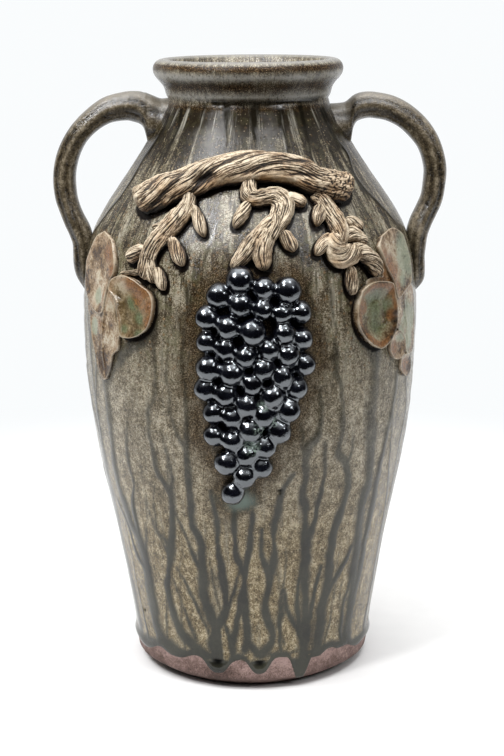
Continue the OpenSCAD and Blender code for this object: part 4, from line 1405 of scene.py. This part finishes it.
def make_world():
    """White to the camera, and to the jar a soft room that is bright behind it and dim in front."""
    world = bpy.data.worlds.new("studio")
    bpy.context.scene.world = world
    world.use_nodes = True
    tree = world.node_tree
    tree.nodes.clear()
    _, y, z = split(add(tree, "ShaderNodeTexCoord", "Generated", {}))
    level = step(y, -0.1, 0.7) * 0.65 + 0.008 + step(z, 0.86, 0.98) * 2.5 + step(z, 0.42, 0.9) * 1.1
    seen, _ = seen_rays(tree)
    room = add(tree, "ShaderNodeBackground", "Background", {"Color": WHITE, "Strength": level})
    white = add(tree, "ShaderNodeBackground", "Background", {"Color": BACKDROP, "Strength": 1.0})
    mixed = add(tree, "ShaderNodeMixShader", "Shader", {0: seen, 1: room, 2: white})
    new_node(tree, "ShaderNodeOutputWorld", {"Surface": mixed})


# Soft boxes: name, place, size and power
LAMPS = [
    ("left_high", (-0.76, -0.42, 1.57), 0.4, 11.0),
    ("right_high", (0.43, -0.64, 1.645), 0.4, 7.0),
    ("left_low", (-0.76, -0.94, 1.45), 0.28, 14.0),
    ("right_low", (1.08, -0.98, 1.11), 0.28, 4.4),
]
LAMP_AIM = Vector((0, 0, 0.22))


def make_lamps():
    """Soft boxes that are turned to the jar."""
    for name, spot, size, power in LAMPS:
        lamp = bpy.data.lights.new(name, "AREA")
        lamp.size = size
        lamp.energy = power
        holder = new_object(name, lamp)
        holder.location = spot
        holder.rotation_euler = (LAMP_AIM - Vector(spot)).to_track_quat("-Z", "Y").to_euler()


CAMERA_SPOT = (0.0012, -1.217, 0.5047)
CAMERA_DOWN = 13.45
CAMERA_ROLL = -0.41
CAMERA_LENS = 79.3
CAMERA_SENSOR = 36.0


def make_camera():
    """A camera a little above the jar, looking down at it."""
    lens = bpy.data.cameras.new("camera")
    lens.lens = CAMERA_LENS
    lens.sensor_width = CAMERA_SENSOR
    camera = new_object("camera", lens)
    camera.location = CAMERA_SPOT
    tilt = Euler((math.radians(90 - CAMERA_DOWN), 0, 0)).to_matrix()
    roll = Euler((0, 0, math.radians(CAMERA_ROLL))).to_matrix()
    camera.rotation_euler = (tilt @ roll).to_euler()
    bpy.context.scene.camera = camera


bpy.context.scene.view_settings.view_transform = "Standard"
make_camera()
make_floor()
make_world()
make_lamps()

make_jar(jar_material())
handle_glaze = handle_material()
make_handle("right_handle", 1, RIGHT_STRAP, handle_glaze, 31)
make_handle("left_handle", -1, LEFT_STRAP, handle_glaze, 37)
vine_clay = clay_material("vine_clay", (0.62, 0.44, 0.27))
bud_clay = clay_material("bud_clay", (0.60, 0.42, 0.25))
make_vine(vine_clay)
make_twig("left_twig", LEFT_TWIG, vine_clay, 201)
make_twig("centre_twig", CENTRE_TWIG, vine_clay, 301)
make_twig("right_twig", RIGHT_TWIG, vine_clay, 401)
for i, bud_name in enumerate(BUDS):
    make_bud(bud_name, bud_clay, 501 + 10 * i)
leaf_glaze = leaf_material()
make_leaf("left_leaf", -1, LEFT_SLAB, LEFT_LOBES, LEFT_VEINS, LEFT_SPOTS, 0.4, leaf_glaze, 61)
make_leaf("right_leaf", 1, RIGHT_SLAB, RIGHT_LOBES, RIGHT_VEINS, RIGHT_SPOTS, 0.85, leaf_glaze, 71)
make_grapes(grape_material())
